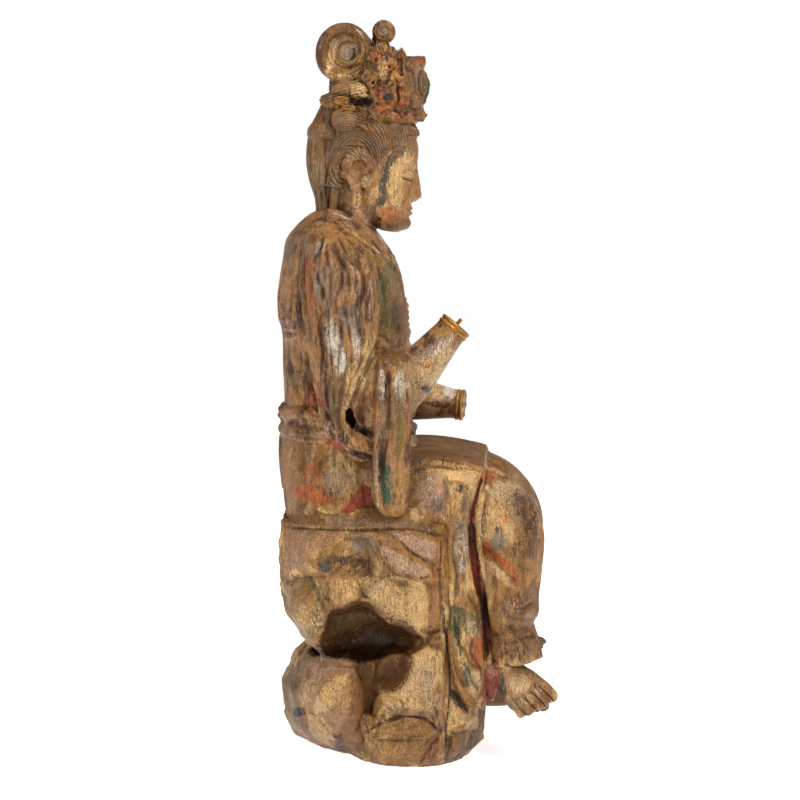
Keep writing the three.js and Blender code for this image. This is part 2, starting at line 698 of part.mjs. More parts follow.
function face() {
  const eyeLevel = 6;
  const skull = skin(skullStations(0), { level: true, sides: 20, rings: 9 });
  const nose = skin([
    { at: [0, -62, 22], wide: 6, deep: 5 },
    { at: [0, -70, 2], wide: 7, deep: 6 },
    { at: [0, -75, -18], wide: 10, deep: 8 },
    { at: [0, -73, -28], wide: 12, deep: 10 },
    { at: [0, -67, -33], wide: 8, deep: 6 },
  ], { level: true, sides: 6, rings: 4 });
  const lids = [-1, 1].map((s) => (
    ball([s * 21, -56, eyeLevel], [14, 9, 8], { yaw: s * 16, sides: 8, rings: 6 })
  ));
  const brows = [-1, 1].map((s) => roll(
    [[s * 7, -66, 17], [s * 20, -63, 24], [s * 36, -50, 20]],
    [2.5, 3.4, 2],
    { sides: 4, rings: 3, side: Z },
  ));
  const lips = [
    ball([0, -67, -44], [13, 6, 3.4], { sides: 8, rings: 4 }),
    ball([0, -65, -50], [11, 6, 3.6], { sides: 8, rings: 4 }),
    ball([0, -58, -66], [15, 10, 12], { sides: 8, rings: 4 }),
  ];
  const slits = [-1, 1].map((s) => (
    ball([s * 21, -65, eyeLevel - 4], [12, 3, 1.2], { yaw: s * 16, sides: 6, rings: 3 })
  ));
  const raised = [skull, nose, ...lids, ...brows, ...lips].map((form) => solid(headPlace(form)));
  const cut = slits.map((form) => solid(headPlace(form)));
  return union(raised).subtract(union(cut));
}

function ears() {
  const shell = headPlace(ball([-54, 13, 2], [8, 17, 29], { pitch: 8, sides: 8, rings: 6 }));
  const lobe = headPlace(ball([-54, 12, -36], [7, 9, 20], { sides: 6, rings: 4 }));
  const hollow = headPlace(ball([-62, 11, 4], [6, 9, 17], { pitch: 8, sides: 6, rings: 4 }));
  return union([...pair(shell), ...pair(lobe)]).subtract(union(pair(hollow)));
}

const neck = () => solid(skin([
  { at: [0, 112, 770], wide: 46, deep: 46 },
  { at: [0, 100, 797], wide: 38, deep: 38 },
  { at: [0, 97, 812], wide: 39.5, deep: 39.5 },
  { at: [0, 94, 822], wide: 36.5, deep: 36.5 },
  { at: [0, 92, 850], wide: 38, deep: 38 },
], { level: true, sides: 12, rings: 5 }));

// Combed hair: strands rise from the hairline to the crown
function hair() {
  const strands = (angle, t) => smooth(t, 0.35, 0.6) * pleats(20, 1.8)(angle);
  const cap = solid(headPlace(skin(skullStations(7), { level: true, sides: 40, rings: 5, fold: strands })));
  const faceOpening = solid(headPlace(block([0, -121, -52], [200, 200, 212], { pitch: 38 })));
  return cap.subtract(faceOpening);
}

function backHair() {
  const fall = skin([
    { at: [0, 136, 800], wide: 26, deep: 17 },
    { at: [0, 138, 832], wide: 26, deep: 17 },
    { at: [0, 141, 862], wide: 33, deep: 23 },
    { at: [0, 144, 900], wide: 34, deep: 24 },
    { at: [0, 139, 935], wide: 36, deep: 24 },
    { at: [0, 130, 955], wide: 32, deep: 24 },
    { at: [0, 122, 985], wide: 26, deep: 18 },
  ], { level: true, sides: 12, rings: 6, fold: pleats(6, 2.5) });
  const band = skin([
    { at: [0, 137, 920], wide: 37, deep: 25 },
    { at: [0, 137, 926], wide: 42, deep: 30 },
    { at: [0, 137, 938], wide: 42, deep: 29 },
    { at: [0, 137, 945], wide: 36, deep: 24 },
  ], { level: true, sides: 10, rings: 3 });
  const hang = [[-40, 112, 896], [-43, 120, 862], [-42, 124, 830], [-44, 128, 806]];
  const lock = roll(hang, [7, 7, 6, 5], { sides: 5, rings: 3 });
  return union([solid(fall), solid(band), ...pair(lock)]);
}

// The crown

// A five-petalled flower boss with a pearl, facing out along a level direction
function flower(at, yaw, size) {
  const petals = skin([
    { at: [0, 0, -5], wide: size * 0.8, deep: size * 0.8 },
    { at: [0, 0, 2], wide: size, deep: size },
    { at: [0, 0, 5], wide: size * 0.6, deep: size * 0.6 },
  ], { level: true, sides: 10, rings: 2, fold: pleats(5, size * 0.2) });
  const pearl = bead([0, 0, 6], size * 0.36);
  return [petals, pearl].map((form) => {
    form.rotateX(degrees(90));
    form.rotateZ(degrees(yaw));
    form.translate(at[0], at[1], at[2]);
    return solid(form);
  });
}

// One rolled end of the chignon: a spiral bead that winds in to a round hub
function volute() {
  const centre = [-30, 104, 1047];
  const turns = 1.75;
  const count = 15;
  const stations = Array.from({ length: count }, (_, i) => {
    const t = i / (count - 1);
    const angle = degrees(-62) - t * turns * turn;
    const radius = 10 + 28 * (1 - smooth(t, 0.25, 0.7)) - 6 * (1 - smooth(t, 0, 0.15));
    const bead = 11.5 - 6 * t;
    const y = centre[1] - radius * Math.cos(angle);
    return { at: [centre[0] - 5 * t, y, centre[2] + radius * Math.sin(angle)], wide: 15, deep: bead };
  });
  const coil = skin(stations, { sides: 6, rings: 24, side: X });
  const hub = ball([-42, 104, 1047], [9, 11, 11], { sides: 8, rings: 4 });
  return [coil, hub];
}

function chignon() {
  const [coil, hub] = volute();
  const drum = welded(new THREE.CylinderGeometry(33, 33, 56, 10));
  drum.rotateZ(degrees(90));
  drum.translate(0, 104, 1047);
  const base = skin([
    { at: [0, 92, 972], wide: 44, deep: 42 },
    { at: [0, 96, 1000], wide: 41, deep: 38 },
    { at: [0, 98, 1022], wide: 36, deep: 34 },
  ], { level: true, sides: 12, rings: 2 });
  return union([...pair(coil), ...pair(hub), solid(drum), solid(base)]);
}

function crown() {
  const band = skin([
    { at: [0, 60, 944], wide: 48, deep: 56 },
    { at: [0, 57, 953], wide: 56, deep: 61 },
    { at: [0, 56, 963], wide: 58, deep: 62 },
    { at: [0, 56, 971], wide: 52, deep: 56 },
  ], { level: true, sides: 18, rings: 3 });
  const body = skin([
    { at: [0, 56, 964], wide: 50, deep: 52 },
    { at: [0, 52, 995], wide: 48, deep: 47 },
    { at: [0, 53, 1028], wide: 43, deep: 44, corner: 2.4 },
    { at: [0, 56, 1050], wide: 34, deep: 42, corner: 2.4 },
    { at: [0, 58, 1060], wide: 22, deep: 28 },
  ], { level: true, sides: 14, rings: 4 });
  // Three upright leaves: one over the brow, bent forward at its tip, and one on each side
  const frontLeaf = skin([
    { at: [0, 4, 962], wide: 18, deep: 9 },
    { at: [0, 8, 984], wide: 30, deep: 8 },
    { at: [0, 7, 1010], wide: 34, deep: 8 },
    { at: [0, 4, 1030], wide: 29, deep: 12 },
    { at: [0, 6, 1043], wide: 18, deep: 15 },
  ], { level: true, sides: 8, rings: 5 });
  const sideLeaf = skin([
    { at: [-34, 10, 966], wide: 10, deep: 12 },
    { at: [-40, 4, 992], wide: 9, deep: 19 },
    { at: [-40, 5, 1018], wide: 9, deep: 17 },
    { at: [-36, 14, 1040], wide: 6, deep: 8 },
  ], { level: true, sides: 8, rings: 3 });
  const lobe = bead([-22, 4, 966], 11);
  const rollBack = ball([-40, 100, 993], [17, 28, 13], { sides: 8, rings: 6 });
  const rollLow = ball([-30, 122, 978], [17, 24, 13], { sides: 8, rings: 4 });
  const bun = ball([-40, 104, 949], [22, 24, 23], { sides: 10, rings: 6 });
  const claspUpper = block([-50, 113, 977], [14, 26, 13], { pitch: 6 });
  const claspLower = block([-57, 101, 966], [12, 20, 8], { pitch: 8 });
  const neckOfCurl = [[0, 40, 1036], [0, 45, 1050], [0, 51, 1064], [0, 56, 1078]];
  const stem = roll(neckOfCurl, [22, 18, 14, 12], { sides: 8, rings: 3 });
  const curl = ball([0, 54, 1081], [14, 17, 17], { sides: 10, rings: 6 });
  const curlHub = bead([-12, 54, 1082], 6);
  const flowers = [-80, -46, -16, 16, 46, 80].flatMap((yaw, i) => {
    const out = degrees(yaw);
    const lift = i % 2 === 0 ? 4 : -6;
    return flower([50 * Math.sin(out), 54 - 52 * Math.cos(out), 986 + lift], yaw, 13);
  });
  const pearls = [-100, -64, -32, 32, 64, 100].map((yaw) => {
    const out = degrees(yaw);
    return solid(bead([47 * Math.sin(out), 53 - 45 * Math.cos(out), 1012], 8));
  });
  const single = [band, body, frontLeaf, stem, curl].map(solid);
  const doubled = [sideLeaf, lobe, rollBack, rollLow, bun, claspUpper, claspLower, curlHub].flatMap(pair);
  return union([...single, ...doubled, ...flowers, ...pearls]);
}

// The collar bands of the mantle, and the beads down the breast
function breast() {
  const collar = roll(
    [[-54, 128, 808], [-46, 92, 794], [-36, 62, 764], [-26, 44, 738], [-18, 32, 706], [-16, 24, 650]],
    [11, 11, 10, 9, 8, 6],
    { sides: 6, rings: 6 },
  );
  const lapel = roll(
    [[-74, 100, 784], [-80, 66, 752], [-80, 48, 710], [-82, 44, 660], [-86, 48, 610]],
    [10, 11, 11, 11, 10],
    { sides: 6, rings: 5 },
  );
  const beads = [0, 1, 2, 3, 4, 5].map((i) => {
    const t = i / 5;
    const y = 40 - 24 * Math.sin((t * Math.PI) / 2);
    return solid(bead([0, y, 744 - 100 * t], 8));
  });
  return union([...pair(collar), ...pair(lapel), ...beads]);
}

// Joining everything

function body() {
  const legs = [
    solid(leg({ height: 150, flare: 0 })),
    solid(mirrored(leg({ height: 122, flare: 8 }))),
  ];
  const lower = [hips(), sash(), lap(), ...legs, skirt(), ...pair(sideFall()), ...pair(lining()), feet()];
  const arms = [
    ...pair(mantleSleeve()),
    ...pair(innerSleeve()),
    solid(hangingEnd(616)),
    solid(mirrored(hangingEnd(560, 16))),
    forearm(rightArm),
    forearm(leftArm),
  ];
  const upper = [torso(), neck(), face(), ears(), hair(), backHair(), crown(), chignon(), breast()];
  const cuff = solid(ball([-162, 93, 519], [22, 8, 18], { pitch: -14, sides: 8, rings: 6 }));
  const whole = union([...lower, ...arms, ...upper]).subtract(cuff);
  return merged(whole, carvingTolerance).transform(bodyPlace.elements);
}

const paintedWood = new THREE.MeshStandardMaterial({ color: 0x9a7a52, roughness: 0.5, metalness: 0 });
const agedBrass = new THREE.MeshStandardMaterial({ color: 0xa8874a, roughness: 0.4, metalness: 1 });

const pinHole = solid(wristRod(pinDiameter + 2 * pinClearance, pinLength + 2 * pinClearance));
const joined = union([rock(), body(), bracelet(rightArm), bracelet(leftArm)]);
const carving = withoutPockets(joined.subtract(pinHole));

const figure = new THREE.Mesh(toGeometry(carving), paintedWood);
figure.name = 'carved_figure';

const wristPin = new THREE.Mesh(wristRod(pinDiameter, pinLength), agedBrass);
wristPin.name = 'wrist_pin';

// The part stands on its underside, with its origin under the middle of its box
const object = new THREE.Group();
object.add(figure, wristPin);
const box = new THREE.Box3().setFromObject(object);
const middle = box.getCenter(new THREE.Vector3());
object.position.set(-middle.x, -middle.y, -box.min.z);

export default object;
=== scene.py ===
"""A worn, painted wooden guanyin that sits on a rock, with the fine carving and the paint.

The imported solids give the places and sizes. Each large part of the carving is laid out again here
from smooth forms, joined into one skin, cut, rubbed and painted. Lengths are millimetres in the
carving's own layout until a piece is finished, and metres in the frame after that.
"""

from __future__ import annotations

import logging
import math
from dataclasses import dataclass, field
from enum import Enum
from typing import Callable, Sequence

import bmesh
import bpy
import numpy as np
from mathutils import Matrix, Vector
from mathutils.bvhtree import BVHTree
from mathutils.geometry import delaunay_2d_cdt
from mathutils.kdtree import KDTree

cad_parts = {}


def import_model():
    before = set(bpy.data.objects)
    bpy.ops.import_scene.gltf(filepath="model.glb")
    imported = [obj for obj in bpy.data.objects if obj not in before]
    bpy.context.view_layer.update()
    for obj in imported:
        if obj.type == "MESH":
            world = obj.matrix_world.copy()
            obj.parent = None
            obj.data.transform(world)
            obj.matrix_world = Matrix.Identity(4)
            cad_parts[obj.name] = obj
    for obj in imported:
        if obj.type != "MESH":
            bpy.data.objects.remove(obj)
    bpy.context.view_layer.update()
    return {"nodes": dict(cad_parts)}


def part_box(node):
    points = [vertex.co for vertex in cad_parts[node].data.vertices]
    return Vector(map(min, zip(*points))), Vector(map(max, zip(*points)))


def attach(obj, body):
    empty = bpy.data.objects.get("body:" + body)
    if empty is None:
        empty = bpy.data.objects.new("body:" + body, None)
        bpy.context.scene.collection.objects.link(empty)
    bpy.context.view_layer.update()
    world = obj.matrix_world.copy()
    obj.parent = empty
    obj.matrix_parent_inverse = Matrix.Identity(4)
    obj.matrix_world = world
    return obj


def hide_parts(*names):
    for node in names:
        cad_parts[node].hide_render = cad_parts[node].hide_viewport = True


LOG = logging.getLogger("guanyin")

Array = np.ndarray
Row = tuple[float, ...]
Line = tuple[tuple[float, float], ...]
Socket = bpy.types.NodeSocket

MM = 0.001
TURN = 2 * math.pi
LEAST = 0.02  # the least weight of paint that counts
UNDER = 0.995  # how far thinning goes under its limit
BODY = "root"
CARVING = "carved_figure"
PIN = "wrist_pin"


# Colours


class Pigment(Enum):
    """The colours on the carving, in display shares of red, green and blue."""

    OCHRE = (0.61, 0.43, 0.21)
    TAN = (0.61, 0.44, 0.28)
    CREAM = (0.80, 0.64, 0.41)
    BONE = (0.76, 0.63, 0.45)
    WHITE = (0.80, 0.75, 0.67)
    ASH = (0.51, 0.45, 0.38)
    SLATE = (0.28, 0.25, 0.21)
    BROWN = (0.47, 0.31, 0.15)
    UMBER = (0.29, 0.17, 0.08)
    SOOT = (0.11, 0.07, 0.04)
    RED = (0.55, 0.20, 0.09)
    MAROON = (0.40, 0.12, 0.06)
    ORANGE = (0.66, 0.32, 0.11)
    ROSE = (0.70, 0.54, 0.43)
    MOSS = (0.38, 0.35, 0.18)
    GREEN = (0.18, 0.31, 0.21)
    GOLD = (0.62, 0.43, 0.18)
    BRASS = (0.60, 0.36, 0.16)
    BLUE = (0.12, 0.14, 0.18)

    @property
    def linear(self) -> Array:
        """The colour in linear light."""
        value = np.array(self.value)
        return np.where(value <= 0.04045, value / 12.92, ((value + 0.055) / 1.055) ** 2.4)


Coats = tuple[Pigment, Pigment, Pigment]
(OCHRE, TAN, CREAM, BONE, WHITE, ASH, SLATE, BROWN, UMBER, SOOT, RED, MAROON, ORANGE, ROSE, MOSS, GREEN, GOLD,
 BRASS, BLUE) = Pigment


# Numbers on many places at once


def smooth(value: Array, low: float, high: float) -> Array:
    """Rises from 0 at low to 1 at high, without a corner.

    Args:
        value: The numbers to look up.
        low: Where the rise starts. It may be above high, and then the curve falls.
        high: Where it ends.

    Returns:
        A share from 0 to 1 for each number.
    """
    share = np.clip((value - low) / (high - low), 0.0, 1.0)
    return share * share * (3 - 2 * share)


def bell(value: Array, middle: float, width: float) -> Array:
    """A bump of height 1 at middle that fades out over width."""
    return np.exp(-(((value - middle) / width) ** 2))


def noise(points: Array, size: float, seed: int, stretch: Row = (1.0, 1.0, 1.0)) -> Array:
    """Soft random values, the same each run.

    Args:
        points: Places, in millimetres.
        size: Distance over which the values change.
        seed: Which of the patterns.
        stretch: How much longer the pattern is along each axis.

    Returns:
        A value from 0 to 1 for each place.
    """
    scaled = points / (size * np.asarray(stretch))
    cell = np.floor(scaled).astype(np.int64)
    part = scaled - cell
    part = part * part * (3 - 2 * part)
    total = np.zeros(len(points))
    for corner in np.ndindex(2, 2, 2):
        x, y, z = (cell + np.array(corner)).T
        mixed = (x * 73856093) ^ (y * 19349663) ^ (z * 83492791) ^ (seed * 40503)
        mixed = ((mixed ^ (mixed >> 13)) * 1274126177) & 0x7FFFFFFF
        mixed = (mixed ^ (mixed >> 15)) & 0xFFFF
        weight = np.prod(np.where(np.array(corner) == 1, part, 1 - part), axis=1)
        total += weight * mixed / 65535
    return total


def cloud(points: Array, size: float, seed: int, stretch: Row = (1.0, 1.0, 1.0)) -> Array:
    """Noise in three sizes, each half of the one before."""
    layers = [noise(points, size / 2**k, seed + 7 * k, stretch) for k in range(3)]
    return (4 * layers[0] + 2 * layers[1] + layers[2]) / 7


def spline(knots: Array, at: Array, centripetal: bool = True) -> Array:
    """A smooth curve through knots.

    Args:
        knots: The rows that it passes through.
        at: Shares of the way, from 0 to 1.
        centripetal: True for a path in space, False for sizes along it.

    Returns:
        One row for each share.
    """
    knots = np.asarray(knots, float)
    ends = np.vstack([2 * knots[0] - knots[1], knots, 2 * knots[-1] - knots[-2]])
    spans = len(knots) - 1
    scaled = np.clip(at * spans, 0, spans)
    first = np.minimum(scaled.astype(int), spans - 1)
    w = (scaled - first)[:, None]
    p0, p1, p2, p3 = (ends[first + k] for k in range(4))
    if centripetal:

        def gap(a: Array, b: Array) -> Array:
            """The root of the distance between rows."""
            return np.maximum(np.linalg.norm(a - b, axis=1) ** 0.5, 1e-2)[:, None]

        d0, d1, d2 = gap(p0, p1), gap(p1, p2), gap(p2, p3)
        m1 = ((p1 - p0) / d0 - (p2 - p0) / (d0 + d1) + (p2 - p1) / d1) * d1
        m2 = ((p2 - p1) / d1 - (p3 - p1) / (d1 + d2) + (p3 - p2) / d2) * d1
    else:
        m1, m2 = (p2 - p0) / 2, (p3 - p1) / 2
    return p1 + m1 * w + (3 * (p2 - p1) - 2 * m1 - m2) * w**2 + (2 * (p1 - p2) + m1 + m2) * w**3


def line_reach(places: Array, line: Array) -> tuple[Array, Array]:
    """How far places lie from a line of straight pieces.

    Args:
        places: Rows of numbers.
        line: The corners of the line, with as many numbers each.

    Returns:
        The distance of each place, and the share of the line's length where it is nearest.
    """
    nearest = np.full(len(places), np.inf)
    share = np.zeros(len(places))
    lengths = np.linalg.norm(np.diff(line, axis=0), axis=1)
    starts = np.concatenate([[0.0], np.cumsum(lengths)])
    for a, b, start, length in zip(line[:-1], line[1:], starts, lengths):
        t = np.clip((places - a) @ (b - a) / length**2, 0, 1)
        distance = np.linalg.norm(places - a - t[:, None] * (b - a), axis=1)
        closer = distance < nearest
        nearest[closer] = distance[closer]
        share[closer] = (start + t[closer] * length) / starts[-1]
    return nearest, share


# The view of the photograph


@dataclass(frozen=True)
class PhotoView:
    """Where the photograph was taken from, in millimetres about the carving."""

    azimuth: float = -87.0
    elevation: float = 5.5
    distance: float = 3300.0
    target: Row = (0.0, 28.0, 529.0)
    focal: float = 2178.0
    frame: float = 800.0
    sensor: float = 36.0
    far: float = 60.0

    def axes(self) -> Array:
        """The view's right, up and back directions, as rows."""
        a, e = math.radians(self.azimuth), math.radians(self.elevation)
        back = np.array([math.sin(a) * math.cos(e), -math.cos(a) * math.cos(e), math.sin(e)])
        right = np.cross(-back, [0.0, 0.0, 1.0])
        right /= np.linalg.norm(right)
        return np.array([right, np.cross(right, -back), back])

    def eye(self) -> Array:
        """The place of the lens."""
        return np.array(self.target) + self.axes()[2] * self.distance

    def pixels(self, points: Array) -> Array:
        """Where places show in the photograph, with the far side folded onto the near one."""
        near = points.copy()
        near[:, 0] = -np.abs(near[:, 0])
        local = (near - self.eye()) @ self.axes().T
        reach = self.focal / -local[:, 2]
        return np.stack([self.frame / 2 + reach * local[:, 0], self.frame / 2 - reach * local[:, 1]], axis=1)

    def on_side(self, pixels: Array, x: float) -> Array:
        """The places on the upright plane at x that show at pixels of the photograph."""
        ways = np.column_stack([pixels - self.frame / 2, np.full(len(pixels), -self.focal)]) * [1, -1, 1]
        ways = ways @ self.axes()
        return self.eye() + ways * ((x - self.eye()[0]) / ways[:, 0])[:, None]

    def camera(self, shift: Array) -> bpy.types.Object:
        """Sets up the camera.

        Args:
            shift: From the carving's layout to the frame, in millimetres.

        Returns:
            The camera.
        """
        data = bpy.data.cameras.new("photo_view")
        data.sensor_width = self.sensor
        data.lens = self.focal / self.frame * self.sensor
        data.clip_end = self.far
        camera = bpy.data.objects.new("photo_view", data)
        turned = Matrix(self.axes().T.tolist()).to_4x4()
        camera.matrix_world = Matrix.Translation(Vector((self.eye() + shift) * MM)) @ turned
        bpy.context.scene.collection.objects.link(camera)
        bpy.context.scene.camera = camera
        return camera


# Forms


@dataclass
class Form:
    """A closed form: its corners, in millimetres, and its triangles."""

    points: Array
    triangles: Array

    def changed(self, matrix: Array, move: Row = (0, 0, 0)) -> Form:
        """The form after a turn or scaling and then a move."""
        return Form(self.points @ np.asarray(matrix, float).T + np.asarray(move, float), self.triangles)

    def mirrored(self) -> Form:
        """The same form on the other side of the middle plane."""
        return Form(self.points * [-1, 1, 1], self.triangles[:, ::-1])


def pitched(degrees: float) -> Array:
    """A turn about X."""
    c, s = math.cos(math.radians(degrees)), math.sin(math.radians(degrees))
    return np.array([[1, 0, 0], [0, c, -s], [0, s, c]])


def yawed(degrees: float) -> Array:
    """A turn about Z."""
    c, s = math.cos(math.radians(degrees)), math.sin(math.radians(degrees))
    return np.array([[c, -s, 0], [s, c, 0], [0, 0, 1]])


def pair(*forms: Form) -> list[Form]:
    """Each form and its mirror image."""
    return [side for form in forms for side in (form, form.mirrored())]


def tube_faces(rings: int, sides: int) -> Array:
    """The triangles of rings of corners that are closed by a hub at each end."""
    j = np.arange(sides)
    k = (j + 1) % sides
    faces = []
    for i in range(rings):
        low, high = i * sides, (i + 1) * sides
        faces += [np.stack([low + j, low + k, high + k], 1), np.stack([low + j, high + k, high + j], 1)]
    hub = (rings + 1) * sides
    faces.append(np.stack([np.full(sides, hub), k, j], 1))
    faces.append(np.stack([np.full(sides, hub + 1), rings * sides + j, rings * sides + k], 1))
    return np.vstack(faces)


Fold = Callable[[Array, Array], Array]


def skin(
    stations: Sequence[Row],
    level: bool = True,
    side: Row = (1, 0, 0),
    fold: Fold | None = None,
    sides: int = 96,
    rings: int = 72,
) -> Form:
    """A closed skin through oval stations.

    Args:
        stations: Rows of x, y, z, half width, half depth and, if not 2, corner power.
        level: True for level rings, False for rings across the path.
        side: Which way angle 0 lies on rings that aren't level.
        fold: Moves the skin outwards by angle and share of the way.
        sides: Corners round each ring.
        rings: Steps along the path.

    Returns:
        The form.
    """
    rows = np.array([list(s) + [2.0] * (6 - len(s)) for s in stations], float)
    at = np.linspace(0, 1, rings + 1)
    step = 1e-4
    centre = spline(rows[:, :3], at)
    size = spline(rows[:, 3:], at, centripetal=False)
    along = spline(rows[:, :3], np.minimum(at + step, 1)) - spline(rows[:, :3], np.maximum(at - step, 0))
    along /= np.linalg.norm(along, axis=1)[:, None]
    across = np.array(side, float) - along * (along @ np.array(side, float))[:, None]
    across /= np.linalg.norm(across, axis=1)[:, None]
    up = np.cross(along, across)
    if level:
        across = np.tile([1.0, 0, 0], (rings + 1, 1))
        up = np.tile([0, 1.0, 0], (rings + 1, 1))
    angle = np.arange(sides)[None, :] * TURN / sides
    c, s = np.cos(angle), np.sin(angle)
    power = 2 / size[:, 2:3]
    out = fold(angle, at[:, None]) if fold else 0.0
    a = np.sign(c) * np.abs(c) ** power * size[:, 0:1] + out * c
    b = np.sign(s) * np.abs(s) ** power * size[:, 1:2] + out * s
    places = centre[:, None] + a[..., None] * across[:, None] + b[..., None] * up[:, None]
    points = np.vstack([places.reshape(-1, 3), centre[:1], centre[-1:]])
    return Form(points, tube_faces(rings, sides))


def ball(at: Row, radii: Row, pitch: float = 0, yaw: float = 0, sides: int = 40) -> Form:
    """An ellipsoid, turned about X by pitch degrees and then about Z by yaw degrees."""
    rings = sides // 2
    height = -np.cos(np.linspace(0, math.pi, rings + 1)[1:-1])
    wide = np.sqrt(1 - height**2)[:, None]
    angle = np.arange(sides)[None, :] * TURN / sides
    layers = np.stack([wide * np.cos(angle), wide * np.sin(angle), height[:, None] + 0 * angle], axis=2)
    points = np.vstack([layers.reshape(-1, 3), [[0, 0, -1], [0, 0, 1]]]) * radii
    return Form(points, tube_faces(rings - 2, sides)).changed(yawed(yaw) @ pitched(pitch), at)


def block(at: Row, size: Row, pitch: float = 0) -> Form:
    """A box, turned about X."""
    corners = [[x, y, z] for x in (-0.5, 0.5) for y in (-0.5, 0.5) for z in (-0.5, 0.5)]
    return hull(np.array(corners) * size).changed(pitched(pitch), at)


def roll(places: Sequence[Row], radii: Sequence[float], fold: Fold | None = None, sides: int = 24) -> list[Form]:
    """A round roll through places, with round ends."""
    stations = [(*at, radius, radius) for at, radius in zip(places, radii)]
    side = (0, 0, 1) if abs(places[-1][2] - places[0][2]) < abs(places[-1][0] - places[0][0]) else (1, 0, 0)
    body = skin(stations, level=False, side=side, fold=fold, sides=sides, rings=10 * len(places))
    ends = [ball(places[i], (radii[i],) * 3, sides=sides) for i in (0, -1)]
    return [body, *ends]


def curl(centre: Row, radius: float, turns: float, start: float, thick: float) -> Form:
    """A tendril that winds inwards in an upright plane, seen from the side.

    Args:
        centre: The middle of the winding.
        radius: Its outer radius.
        turns: How often it goes round. Below zero it winds the other way.
        start: Where it starts, in degrees: 0 is the back and 90 the top.
        thick: Its half thickness at the start.

    Returns:
        The form of the tendril.
    """
    count = int(abs(turns) * 10) + 4
    rows = []
    for t in np.linspace(0, 1, count):
        angle = math.radians(start) + TURN * turns * t
        reach = radius * (1 - 0.8 * t)
        place = (centre[0], centre[1] + reach * math.cos(angle), centre[2] + reach * math.sin(angle))
        size = thick * (1 - 0.5 * t)
        rows.append((*place, size, size))
    return skin(rows, level=False, sides=20, rings=6 * count)


def hull(points: Array) -> Form:
    """The tight closed form round a set of points."""
    work = bmesh.new()
    for place in points:
        work.verts.new(place)
    made = bmesh.ops.convex_hull(work, input=list(work.verts))
    loose = [v for v in set(made["geom_interior"] + made["geom_unused"]) if isinstance(v, bmesh.types.BMVert)]
    bmesh.ops.delete(work, geom=loose, context="VERTS")
    mesh = bpy.data.meshes.new("hull")
    work.to_mesh(mesh)
    work.free()
    return from_mesh(mesh)


def boulder(rings: Sequence[tuple]) -> Form:
    """A stone with flat faces. Each ring is its height and then the corners, x and y, there."""
    return hull(np.array([(*corner, ring[0]) for ring in rings for corner in ring[1:]], float))


def pit(view: PhotoView, outline: Line, focus: Row, depth: float, mouth: float = -150.0, tall: float = 0.0,
        power: float = 2.0) -> Form:
    """A hollow for cutting, which goes in from the near side.

    Args:
        view: The photograph's view.
        outline: The corners of its mouth in the photograph's pixels.
        focus: Where it is deepest, in pixels.
        depth: How deep it is.
        mouth: Where its mouth lies along X.
        tall: The share of its height that its deepest part keeps.
        power: 1 for straight walls, 2 for round ones.

    Returns:
        The form.
    """
    sides, layer_count, flare, outside = 64, 14, 1.15, 40
    closed = np.array([*outline, outline[0]], float)
    rim = spline(closed, np.arange(sides) / sides)
    middle = np.array(focus, float)
    layers = [view.on_side(middle + flare * (rim - middle), mouth - outside)]
    for t in np.linspace(0, 0.98, layer_count):
        share = (1 - t**power) ** (1 / power)
        shrunk = middle + (rim - middle) * [share, tall + (1 - tall) * share]
        layers.append(view.on_side(shrunk, mouth + depth * t))
    hubs = [layer.mean(0) for layer in (layers[0], layers[-1])]
    return Form(np.vstack([*layers, *hubs]), tube_faces(len(layers) - 1, sides))


def pleats(count: int, depth: float, swing: float = 0.0) -> Fold:
    """Ridges round a form, with a swing in their height."""
    return lambda angle, t: depth * np.cos(count * angle) * (1 + swing * np.sin(2 * angle + 1)) + 0 * t


# Blender meshes


def to_mesh(form: Form, name: str) -> bpy.types.Mesh:
    """A Blender mesh of the form."""
    mesh = bpy.data.meshes.new(name)
    count = len(form.triangles)
    mesh.vertices.add(len(form.points))
    mesh.vertices.foreach_set("co", form.points.astype(np.float32).ravel())
    mesh.loops.add(3 * count)
    mesh.loops.foreach_set("vertex_index", form.triangles.astype(np.int32).ravel())
    mesh.polygons.add(count)
    mesh.polygons.foreach_set("loop_start", np.arange(0, 3 * count, 3, dtype=np.int32))
    mesh.update(calc_edges=True)
    return mesh


def from_mesh(mesh: bpy.types.Mesh) -> Form:
    """The form of a Blender mesh, which is then removed."""
    mesh.calc_loop_triangles()
    points = np.empty(3 * len(mesh.vertices), np.float32)
    mesh.vertices.foreach_get("co", points)
    triangles = np.empty(3 * len(mesh.loop_triangles), np.int32)
    mesh.loop_triangles.foreach_get("vertices", triangles)
    bpy.data.meshes.remove(mesh)
    return Form(points.astype(float).reshape(-1, 3), triangles.reshape(-1, 3))


def stock(form: Form, name: str) -> bpy.types.Object:
    """A working object of the form."""
    piece = bpy.data.objects.new(name, to_mesh(form, name))
    bpy.context.scene.collection.objects.link(piece)
    return piece


def settled(piece: bpy.types.Object) -> bpy.types.Mesh:
    """A plain mesh of an object with its modifiers applied. The object itself is removed."""
    graph = bpy.context.evaluated_depsgraph_get()
    mesh = bpy.data.meshes.new_from_object(piece.evaluated_get(graph))
    source = piece.data
    bpy.data.objects.remove(piece)
    if source.users == 0 and isinstance(source, bpy.types.Mesh):
        bpy.data.meshes.remove(source)
    return mesh


def heaped(forms: Sequence[Form]) -> Form:
    """Several forms as one set of corners and triangles."""
    starts = np.cumsum([0] + [len(f.points) for f in forms])
    triangles = [f.triangles + start for f, start in zip(forms, starts)]
    return Form(np.vstack([f.points for f in forms]), np.vstack(triangles))


